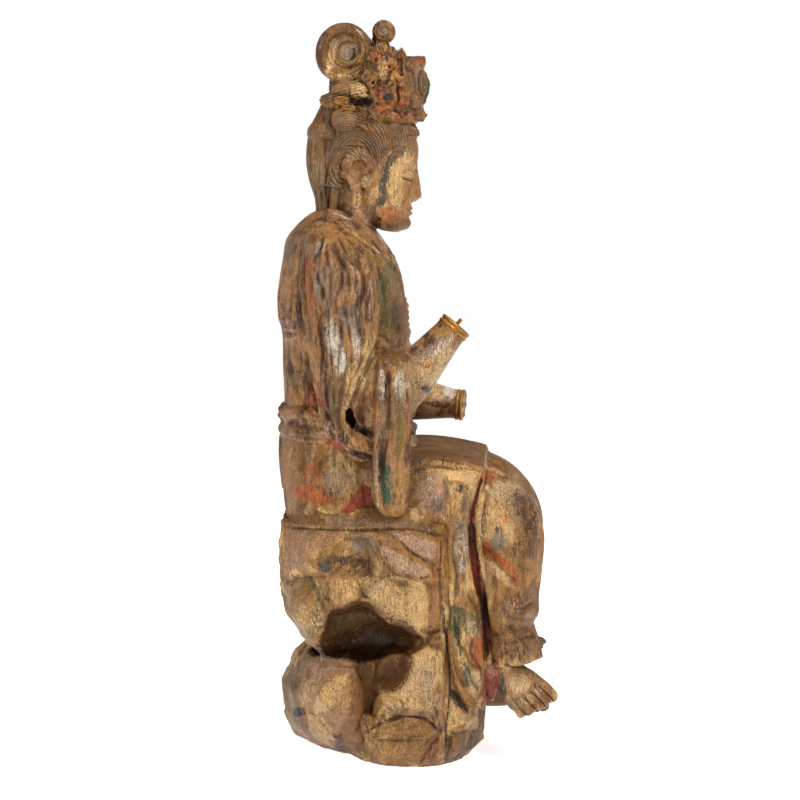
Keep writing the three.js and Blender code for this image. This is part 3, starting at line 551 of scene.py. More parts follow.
def less(form: Form, tool: Form) -> Form:
    """The form with a tool's space cut out of it."""
    piece, cutter = stock(form, "stock"), stock(tool, "cutter")
    cut = piece.modifiers.new("cut", "BOOLEAN")
    cut.operation = "DIFFERENCE"
    cut.solver = "MANIFOLD"
    cut.object = cutter
    result = from_mesh(settled(piece))
    bpy.data.objects.remove(cutter)
    return result


def fused(forms: Sequence[Form], grain: float) -> Form:
    """Overlapping closed forms as one skin.

    Args:
        forms: The forms to join.
        grain: The size of the new faces.

    Returns:
        The skin.
    """
    piece = stock(heaped(forms), "stock")
    remesh = piece.modifiers.new("join", "REMESH")
    remesh.mode = "VOXEL"
    remesh.voxel_size = grain
    return from_mesh(settled(piece))


def thinned(form: Form, limit: int) -> Form:
    """The form with its flattest faces merged until it has fewer than limit triangles."""
    if len(form.triangles) <= limit:
        return form
    piece = stock(form, "stock")
    thin = piece.modifiers.new("thin", "DECIMATE")
    thin.ratio = UNDER * limit / len(form.triangles)
    return from_mesh(settled(piece))


def unbroken(form: Form) -> Form:
    """The largest connected part of a form, without the chips that a cut may leave."""
    edges = form.triangles[:, [0, 1, 1, 2]].reshape(-1, 2)
    label = np.arange(len(form.points))
    while True:
        low = label[edges].min(axis=1)
        joined = label.copy()
        np.minimum.at(joined, edges[:, 0], low)
        np.minimum.at(joined, edges[:, 1], low)
        joined = joined[joined]
        if (joined == label).all():
            break
        label = joined
    kept = label == np.bincount(label).argmax()
    place = np.cumsum(kept) - 1
    return Form(form.points[kept], place[form.triangles[kept[form.triangles[:, 0]]]])


class Web:
    """How the corners of a closed skin hang together."""

    def __init__(self, form: Form) -> None:
        """Takes the edges of the form."""
        self.triangles = form.triangles
        self.count = len(form.points)
        self.start = form.triangles.ravel()
        self.end = np.roll(form.triangles, -1, axis=1).ravel()
        self.degree = np.maximum(np.bincount(self.start, minlength=self.count), 1)

    def average(self, values: Array) -> Array:
        """For each corner, the mean of its neighbours' values."""
        if values.ndim == 1:
            return np.bincount(self.start, values[self.end], self.count) / self.degree
        return np.stack([self.average(column) for column in values.T], axis=1)

    def rubbed(self, values: Array, times: int, strength: float = 0.5) -> Array:
        """The values after each has moved towards its neighbours, several times."""
        for _ in range(times):
            values = values + strength * (self.average(values) - values)
        return values

    def normals(self, points: Array) -> Array:
        """Which way the skin faces at each corner."""
        a, b, c = (points[self.triangles[:, k]] for k in range(3))
        face = np.cross(b - a, c - a)
        total = np.zeros((self.count, 3))
        for k in range(3):
            for axis in range(3):
                total[:, axis] += np.bincount(self.triangles[:, k], face[:, axis], self.count)
        return total / np.maximum(np.linalg.norm(total, axis=1), 1e-9)[:, None]


# Carving and painting


@dataclass
class Spots:
    """Places on a skin, with what a cut or a brush asks about them."""

    points: Array
    normals: Array
    view: PhotoView
    pixels: Array = field(init=False)  # where they show in the photograph
    sideways: Array = field(init=False)  # how far they face the photograph's side, from 0 to 1

    def __post_init__(self) -> None:
        """Works out the photograph's view of the places."""
        self.pixels = self.view.pixels(self.points)
        self.sideways = smooth(np.abs(self.normals[:, 0]), 0.12, 0.5)

    def near(self, corners: Array, margin: float) -> Array:
        """Which places show within a margin of the box round some corners, in pixels."""
        low, high = corners.min(0) - margin, corners.max(0) + margin
        return np.all((self.pixels > low) & (self.pixels < high), axis=1)

    def cloud(self, size: float, seed: int, stretch: Row = (1.0, 1.0, 1.0)) -> Array:
        """Random values on the places."""
        return cloud(self.points, size, seed, stretch)


@dataclass(frozen=True)
class Cut:
    """A valley along a line of the photograph, in its pixels, or a ridge where depth is below 0."""

    line: Line
    width: float = 3.0
    depth: float = 4.0
    swell: float = 0.3
    taper: float = 0.15
    span: float = 3.2

    def of(self, spots: Spots) -> Array:
        """How far the skin moves out at each spot."""
        corners = spline(np.array(self.line, float), np.linspace(0, 1, 4 * len(self.line)))
        near = spots.near(corners, self.span * self.width)
        out = np.zeros(len(spots.points))
        distance, share = line_reach(spots.pixels[near], corners)
        ends = smooth(share, -0.01, self.taper) * smooth(share, 1.01, 1 - self.taper)
        crease = np.exp(-((distance / self.width) ** 1.4))
        shape = self.swell * bell(distance, 2 * self.width, 0.8 * self.width) - crease
        out[near] = self.depth * shape * ends * spots.sideways[near]
        return out


@dataclass(frozen=True)
class Facets:
    """Flat chiselled faces between marks, each a place in the photograph's pixels and a height."""

    marks: tuple[Row, ...]

    def of(self, spots: Spots) -> Array:
        """How far the skin moves out at each spot."""
        marks = np.array(self.marks, float)
        corners = [Vector(mark[:2]) for mark in marks]
        _, _, faces, origins, _, _ = delaunay_2d_cdt(corners, [], [], 0, 1e-6)
        out = np.zeros(len(spots.points))
        for face in faces:
            a, b, c = (marks[origins[corner][0]] for corner in face)
            shares = (spots.pixels - a[:2]) @ np.linalg.inv(np.array([b[:2] - a[:2], c[:2] - a[:2]]))
            u, v = shares.T
            inside = (u >= 0) & (v >= 0) & (u + v <= 1)
            out[inside] = a[2] + u[inside] * (b[2] - a[2]) + v[inside] * (c[2] - a[2])
        return out * spots.sideways


@dataclass(frozen=True)
class Patch:
    """A patch of paint in the photograph's pixels, with a ragged edge."""

    x: float
    y: float
    wide: float
    high: float
    pigment: Pigment
    strength: float = 0.8
    lean: float = 0.0
    ragged: float = 0.9

    def weight(self, spots: Spots, rag: Array) -> Array:
        """How much of the paint lies on each spot."""
        dx, dy = spots.pixels[:, 0] - self.x, spots.pixels[:, 1] - self.y
        c, s = math.cos(math.radians(self.lean)), math.sin(math.radians(self.lean))
        reach = np.hypot((dx * c + dy * s) / self.wide, (dy * c - dx * s) / self.high)
        return self.strength * smooth(reach + self.ragged * (rag - 0.5), 1.25, 0.65)


@dataclass(frozen=True)
class Plane:
    """A face with a coat of its own, or with painted shade, between corners in the photograph's pixels."""

    corners: Line
    pigment: Pigment
    strength: float = 0.7
    ragged: float = 5.0

    def weight(self, spots: Spots, rag: Array) -> Array:
        """How much of the paint lies on each spot."""
        corners = np.array([*self.corners, self.corners[0]], float)
        near = spots.near(corners, self.ragged)
        out = np.zeros(len(spots.points))
        places = spots.pixels[near]
        inside = np.zeros(len(places), bool)
        for (ax, ay), (bx, by) in zip(corners[:-1], corners[1:]):
            if ay != by:
                beside = places[:, 0] < (bx - ax) * (places[:, 1] - ay) / (by - ay) + ax
                inside ^= ((ay > places[:, 1]) != (by > places[:, 1])) & beside
        distance, _ = line_reach(places, corners)
        edge = np.where(inside, distance, -distance) + self.ragged * (rag[near] - 0.5)
        out[near] = self.strength * smooth(edge, -0.9, 1.3)
        return out


@dataclass(frozen=True)
class Stroke:
    """A line of paint, dirt or painted shade in the photograph's pixels."""

    line: Line
    width: float
    pigment: Pigment
    strength: float = 0.8

    def weight(self, spots: Spots, rag: Array) -> Array:
        """How much of the paint lies on each spot."""
        corners = spline(np.array(self.line, float), np.linspace(0, 1, 3 * len(self.line)))
        near = spots.near(corners, 3 * self.width)
        out = np.zeros(len(spots.points))
        distance, _ = line_reach(spots.pixels[near], corners)
        worn = 0.6 + 0.8 * rag[near]
        out[near] = np.clip(self.strength * worn * bell(distance, 0, self.width), 0, 1)
        return out


Paint = Patch | Plane | Stroke


class Shade:
    """How deep a place lies among the forms round it."""

    count = 28  # directions that are tried from a place
    lift = 3.0  # how far off the skin they start, in millimetres
    step = 0.05  # how far a ray goes on past a face that it leaves by, in millimetres

    def __init__(self, node: bpy.types.Object, shift: Array) -> None:
        """Takes the solid that shuts the light out."""
        places = np.array([v.co for v in node.data.vertices]) / MM - shift
        faces = [tuple(p.vertices) for p in node.data.polygons]
        self.tree = BVHTree.FromPolygons([Vector(p) for p in places], faces)
        random = np.random.default_rng(5)
        rays = random.normal(size=(self.count, 3))
        self.rays = rays / np.linalg.norm(rays, axis=1)[:, None]

    def clear_way(self, start: Vector, way: Vector, reach: float) -> float:
        """How far it is to a face that looks back, up to reach, after the way out of the solid itself."""
        gone = 0.0
        while gone < reach:
            place, normal, _, distance = self.tree.ray_cast(start, way, reach - gone)
            if place is None:
                return reach
            gone += distance
            if normal.dot(way) < 0:
                return gone
            start = place + self.step * way
            gone += self.step
        return reach

    def of(self, points: Array, normals: Array, samples: int = 3500, reach: float = 130.0) -> Array:
        """The share of near directions that are blocked.

        Args:
            points: Places in the carving's layout.
            normals: Which way the skin faces there.
            samples: How many of the places are tested. The others take the mean of the nearest.
            reach: How far away a form still blocks.

        Returns:
            A share from 0 in the open to 1 in a deep hollow.
        """
        chosen = np.unique(np.linspace(0, len(points) - 1, samples).astype(int))
        order = KDTree(len(chosen))
        depth = np.zeros(len(chosen))
        for i, index in enumerate(chosen):
            normal = normals[index]
            start = Vector(points[index] + self.lift * normal)
            facing = self.rays @ normal
            blocked = total = 0.0
            for ray, share in zip(self.rays, facing):
                way = ray if share > 0 else -ray
                weight = abs(share)
                total += weight
                distance = self.clear_way(start, Vector(way), reach)
                if distance < reach:
                    blocked += weight * (1 - distance / reach)
            depth[i] = blocked / total
            order.insert(Vector(points[index]), i)
        order.balance()
        result = np.empty(len(points))
        for i, place in enumerate(points):
            found = order.find_n(place, 3)
            weights = [1 / (1 + f[2]) for f in found]
            result[i] = sum(w * depth[f[1]] for w, f in zip(weights, found)) / sum(weights)
        return result


# Finishes


class Bench:
    """Lays out the nodes of one material."""

    def __init__(self, name: str) -> None:
        """Starts an empty material."""
        self.material = bpy.data.materials.new(name)
        self.material.use_nodes = True
        self.nodes = self.material.node_tree.nodes
        self.nodes.clear()
        self.place = self.add("ShaderNodeTexCoord").outputs["Object"]

    def add(self, kind: str, inputs: dict | None = None, **settings: object) -> bpy.types.Node:
        """Adds a node.

        Args:
            kind: Blender's name of the node.
            inputs: For each input by name or number, a value or a socket to link.
            settings: The node's own settings.

        Returns:
            The node.
        """
        node = self.nodes.new(kind)
        for key, value in settings.items():
            setattr(node, key, value)
        for key, value in (inputs or {}).items():
            if isinstance(value, Socket):
                self.material.node_tree.links.new(value, node.inputs[key])
            else:
                node.inputs[key].default_value = value
        return node

    def attribute(self, name: str, output: str) -> Socket:
        """Reads an attribute of the mesh."""
        return self.add("ShaderNodeAttribute", attribute_name=name).outputs[output]

    def stretched(self, scale: Row) -> Socket:
        """The object's coordinates, scaled."""
        return self.add("ShaderNodeMapping", {"Vector": self.place, "Scale": scale}).outputs[0]

    def noise(self, scale: float, detail: float, rough: float, place: Socket | None = None) -> Socket:
        """A noise texture's value."""
        inputs = {"Vector": place or self.place, "Scale": scale, "Detail": detail, "Roughness": rough}
        return self.add("ShaderNodeTexNoise", inputs).outputs[0]

    def spread(self, value: Socket, low: float, high: float, to: Row = (0.0, 1.0)) -> Socket:
        """Turns the range from low to high into another range, and stops at its ends."""
        inputs = {"Value": value, "From Min": low, "From Max": high, "To Min": to[0], "To Max": to[1]}
        return self.add("ShaderNodeMapRange", inputs).outputs[0]

    def blotches(self, texture: Row, low: float, high: float, to: Row = (0.0, 1.0)) -> Socket:
        """A noise texture, given by its scale, detail and roughness, spread from low to high."""
        return self.spread(self.noise(*texture), low, high, to)

    def times(self, a: object, b: object) -> Socket:
        """The product of two values."""
        return self.maths("MULTIPLY", a, b)

    def maths(self, operation: str, a: object, b: object) -> Socket:
        """A sum of two values."""
        return self.add("ShaderNodeMath", {0: a, 1: b}, operation=operation).outputs[0]

    def mixed(self, share: object, a: object, b: object, blend: str = "MIX") -> Socket:
        """Two colours, mixed."""
        node = self.add("ShaderNodeMix", data_type="RGBA", blend_type=blend)
        for socket, value in ((node.inputs[0], share), (node.inputs[6], a), (node.inputs[7], b)):
            if isinstance(value, Socket):
                self.material.node_tree.links.new(value, socket)
            else:
                socket.default_value = value
        return node.outputs[2]

    def finished(self, inputs: dict) -> bpy.types.Material:
        """Ends the material in a surface with these inputs."""
        surface = self.add("ShaderNodeBsdfPrincipled", inputs)
        self.add("ShaderNodeOutputMaterial", {"Surface": surface.outputs[0]})
        return self.material


def opaque(pigment: Pigment, share: float = 1.0) -> Row:
    """A pigment as a colour with alpha, darkened to a share of itself."""
    return (*(pigment.linear * share), 1.0)


@dataclass(frozen=True)
class WornPaint:
    """Old paint on wood: crackled, rubbed down to the grain and waxed, with painted shade darkening its cuts and
    hollows.
    """

    name: str
    crackle: float = 0.62
    crackle_size: float = 3.6
    grain: float = 0.55
    speckle: float = 0.78
    scuff: float = 0.42
    rough: float = 0.44
    wax: float = 0.17
    bump: float = 0.75

    def material(self) -> bpy.types.Material:
        """The material, which takes its paint, painted shade and gilt from the mesh."""
        bench = Bench(self.name)
        painted_shade = bench.attribute("painted_shade", "Fac")
        gilt = bench.attribute("gilt", "Fac")
        dull = bench.attribute("dull", "Fac")
        upright = bench.stretched((1.0, 1.0, 0.2))

        # Where the paint still covers the ground, and the speckle, grain and scuffs over both.
        fleck = bench.maths("ADD", bench.noise(210, 7, 0.78), bench.noise(300, 4, 0.7, upright))
        cover = bench.maths("ADD", bench.attribute("cover", "Fac"), bench.spread(fleck, 0.6, 1.4, (-0.75, 0.75)))
        painted = bench.spread(cover, 0.40, 0.62)
        paint = bench.mixed(painted, bench.attribute("ground", "Color"), bench.attribute("paint", "Color"))
        rubbed = bench.blotches((24, 5, 0.65), 0.42, 0.58)
        specks = bench.blotches((300, 7, 0.8), 0.50, 0.62)
        lean = bench.blotches((15, 3, 0.6), 0.38, 0.56, (0.25, 1.0))
        grain = bench.times(bench.spread(bench.noise(420, 6, 0.75, upright), 0.48, 0.62), lean)
        scuffs = bench.spread(bench.noise(350, 6, 0.75, bench.stretched((1.0, 1.0, 0.3))), 0.55, 0.66)

        # Crackle: the edges of cells that are pushed about, in some places only.
        drift = bench.add("ShaderNodeTexNoise", {"Vector": bench.place, "Scale": 120.0, "Detail": 3.0}).outputs[1]
        moved = bench.add("ShaderNodeVectorMath", {0: drift, 1: (0.5, 0.5, 0.5)}, operation="SUBTRACT").outputs[0]
        moved = bench.add("ShaderNodeVectorMath", {0: moved, "Scale": 0.009}, operation="SCALE").outputs[0]
        warped = bench.add("ShaderNodeVectorMath", {0: bench.place, 1: moved}, operation="ADD").outputs[0]
        cells = {"Vector": warped, "Scale": 1000 / self.crackle_size}
        edges = bench.add("ShaderNodeTexVoronoi", cells, feature="DISTANCE_TO_EDGE").outputs[0]
        cracks = bench.spread(edges, 0.0, 0.12, (1.0, 0.0))
        patches = bench.blotches((17, 5, 0.65), 0.42, 0.54, (0.15, 1.0))
        cracked = bench.times(cracks, patches)
        specked = bench.times(specks, bench.spread(rubbed, 0.0, 1.0, (0.3, 1.0)))

        # The colour, from the paint to the dirt in the specks, grain and cracks, and painted shade in the cuts and
        # hollows.
        tone = bench.blotches((90, 7, 0.75), 0.3, 0.7, (0.72, 1.24))
        shade = bench.add("ShaderNodeCombineColor", {0: tone, 1: tone, 2: tone}).outputs[0]
        colour = bench.mixed(1.0, paint, shade, "MULTIPLY")
        light = bench.times(scuffs, bench.spread(dull, 0.0, 1.0, (self.scuff, 0.1)))
        colour = bench.mixed(light, colour, opaque(BONE, 1.1))
        dirt = opaque(UMBER, 0.55)
        colour = bench.mixed(bench.times(specked, self.speckle), colour, dirt)
        colour = bench.mixed(bench.times(grain, self.grain), colour, dirt)
        colour = bench.mixed(bench.times(cracked, self.crackle), colour, dirt)
        # Painted shade: dark umber in the cuts and where other forms shut off the light, as the mesh marks them.
        colour = bench.mixed(painted_shade, colour, opaque(UMBER, 0.3))

        # The small relief and the sheen.
        pits = bench.maths("ADD", bench.times(cracked, 0.6), bench.times(grain, 0.5))
        pits = bench.maths("ADD", pits, bench.times(specked, 0.35))
        height = bench.maths("SUBTRACT", 1.0, pits)
        bump = bench.add("ShaderNodeBump", {"Strength": self.bump, "Distance": 0.0011, "Height": height})
        rough = bench.blotches((55, 4, 0.6), 0.3, 0.7, (self.rough - 0.12, self.rough + 0.16))
        return bench.finished({
            "Base Color": colour,
            "Metallic": bench.times(gilt, 0.75),
            "Roughness": bench.maths("MAXIMUM", rough, bench.times(dull, 0.95)),
            "Specular IOR Level": 0.2,
            "Coat Weight": bench.spread(dull, 0.0, 0.6, (self.wax, 0.0)),
            "Coat Roughness": 0.18,
            "Normal": bump.outputs[0],
        })


@dataclass(frozen=True)
class OldMetal:
    """Gilding or brass that has gone dull and dark in blotches and specks."""

    name: str
    bright: Pigment = GOLD
    dark: Pigment = UMBER
    metallic: float = 0.8
    rough: float = 0.34

    def material(self) -> bpy.types.Material:
        """The material."""
        bench = Bench(self.name)
        blotches = bench.blotches((140, 6, 0.7), 0.42, 0.66)
        specks = bench.blotches((600, 5, 0.7), 0.55, 0.7)
        worn = bench.maths("MAXIMUM", bench.times(blotches, 0.6), bench.times(specks, 0.7))
        colour = bench.mixed(worn, opaque(self.bright), opaque(self.dark))
        metal = bench.spread(worn, 0.0, 1.0, (self.metallic, self.metallic * 0.4))
        rough = bench.spread(blotches, 0.0, 1.0, (self.rough, self.rough + 0.25))
        bump = bench.add("ShaderNodeBump", {"Strength": 0.35, "Distance": 0.0004, "Height": bench.noise(380, 5, 0.7)})
        return bench.finished({
            "Base Color": colour,
            "Metallic": metal,
            "Roughness": rough,
            "Normal": bump.outputs[0],
        })


# Pieces


@dataclass
class Workshop:
    """What every piece is made with."""

    view: PhotoView
    shift: Array
    shade: Shade
    paint: bpy.types.Material

    def delivered(self, form: Form, name: str, material: bpy.types.Material) -> bpy.types.Object:
        """A finished piece in the frame, in metres.

        Args:
            form: The piece in the carving's layout.
            name: The piece's name.
            material: Its finish.

        Returns:
            The Blender object.
        """
        places = form.points + self.shift
        places[:, 2] = np.maximum(places[:, 2], 0.0)
        piece = stock(Form(places * MM, form.triangles), name)
        piece.data.materials.append(material)
        piece.data.shade_smooth()
        return piece


def mixed_ground(spots: Spots, coats: Coats, seed: int) -> Array:
    """Old paint that varies between three colours, streaked along the grain.

    Args:
        spots: Where it lies.
        coats: The main colour, a lighter one and a darker one.
        seed: Which of the patterns.

    Returns:
        A colour for each spot.
    """
    main, light, dark = (coat.linear for coat in coats)
    high = smooth(spots.cloud(24, seed, (1, 1, 1.9)), 0.48, 0.62)[:, None]
    low = smooth(spots.cloud(9, seed + 31, (1, 1, 3.2)), 0.50, 0.64)[:, None]
    drift = 0.64 + 0.72 * spots.cloud(5, seed + 45, (1, 1, 2))[:, None]
    colour = (main + high * (light - main)) * drift
    return colour + 0.95 * low * (dark - colour)


@dataclass
class CarvedPiece:
    """A large part of the carving, made as one skin.

    Attributes:
        name: The piece's name.
        grain: The size of the skin's faces before it is thinned, in millimetres.
        limit: The most triangles that it keeps.
        rubbing: How often the joined forms are smoothed.
        coats: The main, lighter and darker colours of its ground.
        seed: Which of the random patterns it has.
        hollow: How dark the painted shade in its cuts is.
        deep: How dark the painted shade is where other forms shut off the light.
        cuts: The cuts of the side that the photograph shows.
        paints: The marks of paint on that side, in the order that they are laid.
    """

    name: str = "carving"
    grain: float = 1.8
    limit: int = 190_000
    rubbing: int = 2
    coats: Coats = (OCHRE, TAN, BROWN)
    seed: int = 1
    hollow: float = 0.7
    deep: float = 1.0
    cuts: tuple[Cut, ...] = ()
    paints: tuple[Paint, ...] = ()

    def forms(self) -> list[Form]:
        """The forms that the piece is joined from."""
        raise NotImplementedError

    def hollows(self) -> list[Form]:
        """The forms that are cut out of it."""
        return []

    def relief(self, spots: Spots) -> Array:
        """How far other carving moves the skin out at each spot, in millimetres."""
        return np.zeros(len(spots.points))

    def tint(self, spots: Spots, colour: Array) -> Array:
        """Further changes to the ground coat."""
        return colour

    def bare(self, spots: Spots) -> Array:
        """The share of each spot that takes no patches of paint."""
        return np.zeros(len(spots.points))

    def gilding(self, spots: Spots) -> Array:
        """How much of each spot is gilded."""
        return np.zeros(len(spots.points))

    def carved(self, view: PhotoView) -> Form:
        """The joined, cut and rubbed skin."""
        grain = self.grain * 1.0
        form = fused(self.forms(), grain)
        if self.hollows():
            form = fused([less(form, fused(self.hollows(), grain))], grain)
        web = Web(form)
        points = web.rubbed(form.points, self.rubbing)
        spots = Spots(points, web.normals(points), view)
        moved = self.relief(spots) + sum(cut.of(spots) for cut in self.cuts)
        chisel = 0.9 * (spots.cloud(16, self.seed + 3, (1, 1, 1.6)) - 0.5)
        points = points + spots.normals * (moved + chisel)[:, None]
        return unbroken(thinned(Form(web.rubbed(points, 1, 0.35), form.triangles), self.limit))

    def painted(self, form: Form, shop: Workshop, piece: bpy.types.Object) -> None:
        """Lays the paint, the painted shade and the gilt on the finished mesh."""
        # The ground coat, and the marks over it. A new mark turns what lies under it into ground.
        web = Web(form)
        spots = Spots(form.points, web.normals(form.points), shop.view)
        rag = 0.5 * spots.cloud(9, self.seed + 50, (1, 1, 1.5)) + 0.5 * spots.cloud(3.2, self.seed + 60)
        ground = self.tint(spots, mixed_ground(spots, self.coats, self.seed))
        paint, cover = ground.copy(), np.zeros(len(ground))
        bare = self.bare(spots)
        for mark in self.paints:
            weight = mark.weight(spots, rag) * (1 - bare)
            fresh = weight > LEAST
            ground[fresh] += cover[fresh, None] * (paint[fresh] - ground[fresh])
            paint[fresh] = mark.pigment.linear
            cover[fresh] = weight[fresh]

        # Edges are rubbed to a lighter wood, and painted shade darkens the cuts and the places that other forms shut
        # off from the light.
        fine = np.einsum("ij,ij->i", web.rubbed(form.points, 4) - form.points, spots.normals)
        broad = np.einsum("ij,ij->i", web.rubbed(form.points, 40) - form.points, spots.normals)
        ridge = smooth(-fine, 0.08, 0.34)[:, None] * smooth(rag, 0.35, 0.6)[:, None]
        ground += 0.4 * ridge * (TAN.linear * 1.2 - ground)
        deep = web.rubbed(shop.shade.of(form.points, spots.normals), 12)
        valley = smooth(fine, 0.05, 0.45) + 0.6 * smooth(broad, 0.8, 3.6)
        # Painted shade: the cuts and hollows, and the places that other forms hide, are darkened.
        painted_shade = self.hollow * np.clip(valley, 0, 1) * (0.5 + 0.8 * rag)
        painted_shade = np.clip(painted_shade + self.deep * smooth(deep, 0.38, 0.9), 0, 0.92)
        up = smooth(web.rubbed(spots.normals[:, 2], 3), 0.45, 0.9)
        ends = smooth(np.abs(web.rubbed(spots.normals[:, 1], 6)), 0.7, 0.95)
        dull = np.clip(0.9 * up + 0.65 * ends + smooth(deep, 0.45, 0.8), 0, 1)

        # The finish reads all of it from the mesh.
        for name, values in (("ground", ground), ("paint", paint)):
            shown = np.hstack([np.clip(values, 0, 1), np.ones((len(values), 1))]).astype(np.float32)
            layer = piece.data.color_attributes.new(name, "FLOAT_COLOR", "POINT")
            layer.data.foreach_set("color", shown.ravel())
        for name, values in (("cover", cover), ("painted_shade", painted_shade), ("gilt", self.gilding(spots)), ("dull", dull)):
            layer = piece.data.attributes.new(name, "FLOAT", "POINT")
            layer.data.foreach_set("value", values.astype(np.float32))

    def build(self, shop: Workshop) -> bpy.types.Object:
        """Makes the piece.

        Args:
            shop: The view, the place and the finish.

        Returns:
            The Blender object, riding on the carving's body.
        """
        form = self.carved(shop.view)
        piece = shop.delivered(form, self.name, shop.paint)
        self.painted(form, shop, piece)
        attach(piece, BODY)
        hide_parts(CARVING)
        return piece


# The mouths of the rock's hollow in the photograph's pixels: the cave, the bowl under it and the valley down.
CAVE: Line = (
    (330, 609), (344, 605), (356, 601), (368, 602), (380, 610), (391, 618), (403, 621), (413, 628), (424, 638),
    (423, 650), (413, 656), (403, 655), (391, 658), (376, 666), (362, 664), (348, 660), (330, 658), (317, 655),
    (314, 646), (322, 628),
)

BOWL: Line = (
    (350, 658), (364, 650), (384, 645), (403, 645), (412, 653), (413, 664), (410, 675), (403, 686), (393, 692),
    (382, 693), (366, 694), (352, 683), (347, 669),
)

VALLEY: Line = (
    (322, 664), (348, 660), (368, 664), (382, 675), (383, 691), (376, 697), (368, 704), (365, 715), (367, 731),
    (370, 747), (358, 754), (342, 751), (326, 741), (314, 723), (309, 701), (312, 679),
)

# Chisel lines and edges of the near side.
ROCK_CUTS: tuple[Cut, ...] = (
    Cut(((284, 527), (300, 529), (342, 532), (392, 531), (437, 537)), 1.8, 3.4),
    Cut(((343, 536), (325, 547), (308, 560)), 1.2, 1.6),
    Cut(((399, 538), (408, 550), (425, 559), (434, 563)), 1.0, 2.6),
    Cut(((373, 537), (380, 549), (388, 563), (407, 576), (428, 580)), 1.3, 3.2),
    Cut(((437, 540), (439, 552), (434, 564), (430, 578)), 1.0, 2.4),
    Cut(((364, 597), (371, 588), (384, 576)), 1.3, 2.2),
    Cut(((283, 588), (293, 579), (307, 577), (318, 590), (331, 606)), 1.5, 2.6),
    Cut(((330, 574), (325, 590), (334, 606)), 1.0, 1.4),
    Cut(((357, 578), (362, 592), (372, 600)), 1.0, 1.6),
    Cut(((368, 733), (381, 722), (402, 717), (425, 719), (440, 732)), 1.6, 4.0, 0.3, 0.05),
    Cut(((372, 739), (400, 741), (433, 739)), 1.1, 2.0),
    Cut(((434, 704), (441, 731), (430, 748), (418, 765)), 1.3, 3.0),
    Cut(((446, 640), (450, 682), (447, 731), (446, 766)), 0.9, 3.4, 0.1),
    Cut(((440, 540), (438, 580), (441, 610), (446, 640)), 1.2, 3.4, 0.1),
    Cut(((297, 706), (300, 716)), 3.0, 3.0),
    Cut(((395, 607), (397, 590), (398, 580)), 0.7, 0.9),
    Cut(((416, 620), (414, 600), (412, 586)), 0.7, 0.9),
)

# The corners of the chiselled faces of the near side, from the seat down: x, y and height.
ROCK_FACETS = Facets((
    (281, 528, 0), (281, 580, -1), (312, 532, 3), (343, 536, 2), (325, 547, 5), (309, 560, 6), (330, 557, -2),
    (345, 563, -4), (365, 541, -2), (368, 560, -4), (372, 536, 2), (399, 537, 6), (425, 538, 7), (437, 548, 6),
    (436, 557, 5), (432, 562, 0), (385, 534, 3), (407, 550, 1), (430, 565, 0), (428, 576, 6), (418, 578, 6),
    (407, 574, 6), (387, 563, 5), (380, 549, 4), (404, 583, 0), (430, 586, 1), (370, 575, -4), (364, 597, -3),
    (372, 589, 4), (384, 577, 4), (400, 598, 6), (422, 590, 5), (430, 612, 3), (419, 622, 5), (407, 621, 5),
    (393, 617, 6), (380, 610, 5), (330, 576, 0), (345, 580, 3), (357, 578, 1), (360, 592, -2), (346, 600, 4),
    (336, 606, 3), (353, 604, 2), (283, 588, 0), (294, 579, -2), (307, 578, -2), (289, 596, 4), (299, 606, 6),
    (312, 599, 5), (325, 600, -2), (321, 612, 3), (301, 626, 4), (312, 640, 4), (322, 632, 3), (294, 632, 1),
    (444, 536, 0), (444, 580, 2), (442, 626, 2), (303, 655, 0), (288, 680, 0), (300, 672, 5), (320, 685, 6),
    (338, 671, 3), (313, 699, 1), (303, 696, 5), (314, 716, 2), (327, 706, 6), (297, 711, -4), (289, 700, 1),
    (285, 726, 1), (307, 735, 4), (329, 730, 2), (345, 748, 0), (300, 750, 1), (322, 757, 0), (413, 648, 5),
    (434, 648, 4), (425, 640, -3), (403, 691, 4), (412, 670, 5), (426, 680, 3), (434, 702, 2), (411, 706, 4),
    (386, 704, 4), (369, 706, 4), (368, 722, 6), (376, 725, -2), (398, 717, -2), (430, 722, -2), (372, 734, 4),
    (400, 731, 4), (430, 733, 2), (373, 740, -2), (400, 741, -2), (432, 740, -2), (386, 751, 3), (410, 752, 4),
    (430, 748, 0), (372, 765, 0), (400, 770, 0), (447, 700, 0), (441, 731, -2), (419, 766, 0), (456, 742, 5),
    (476, 736, 2), (478, 760, 0),
))
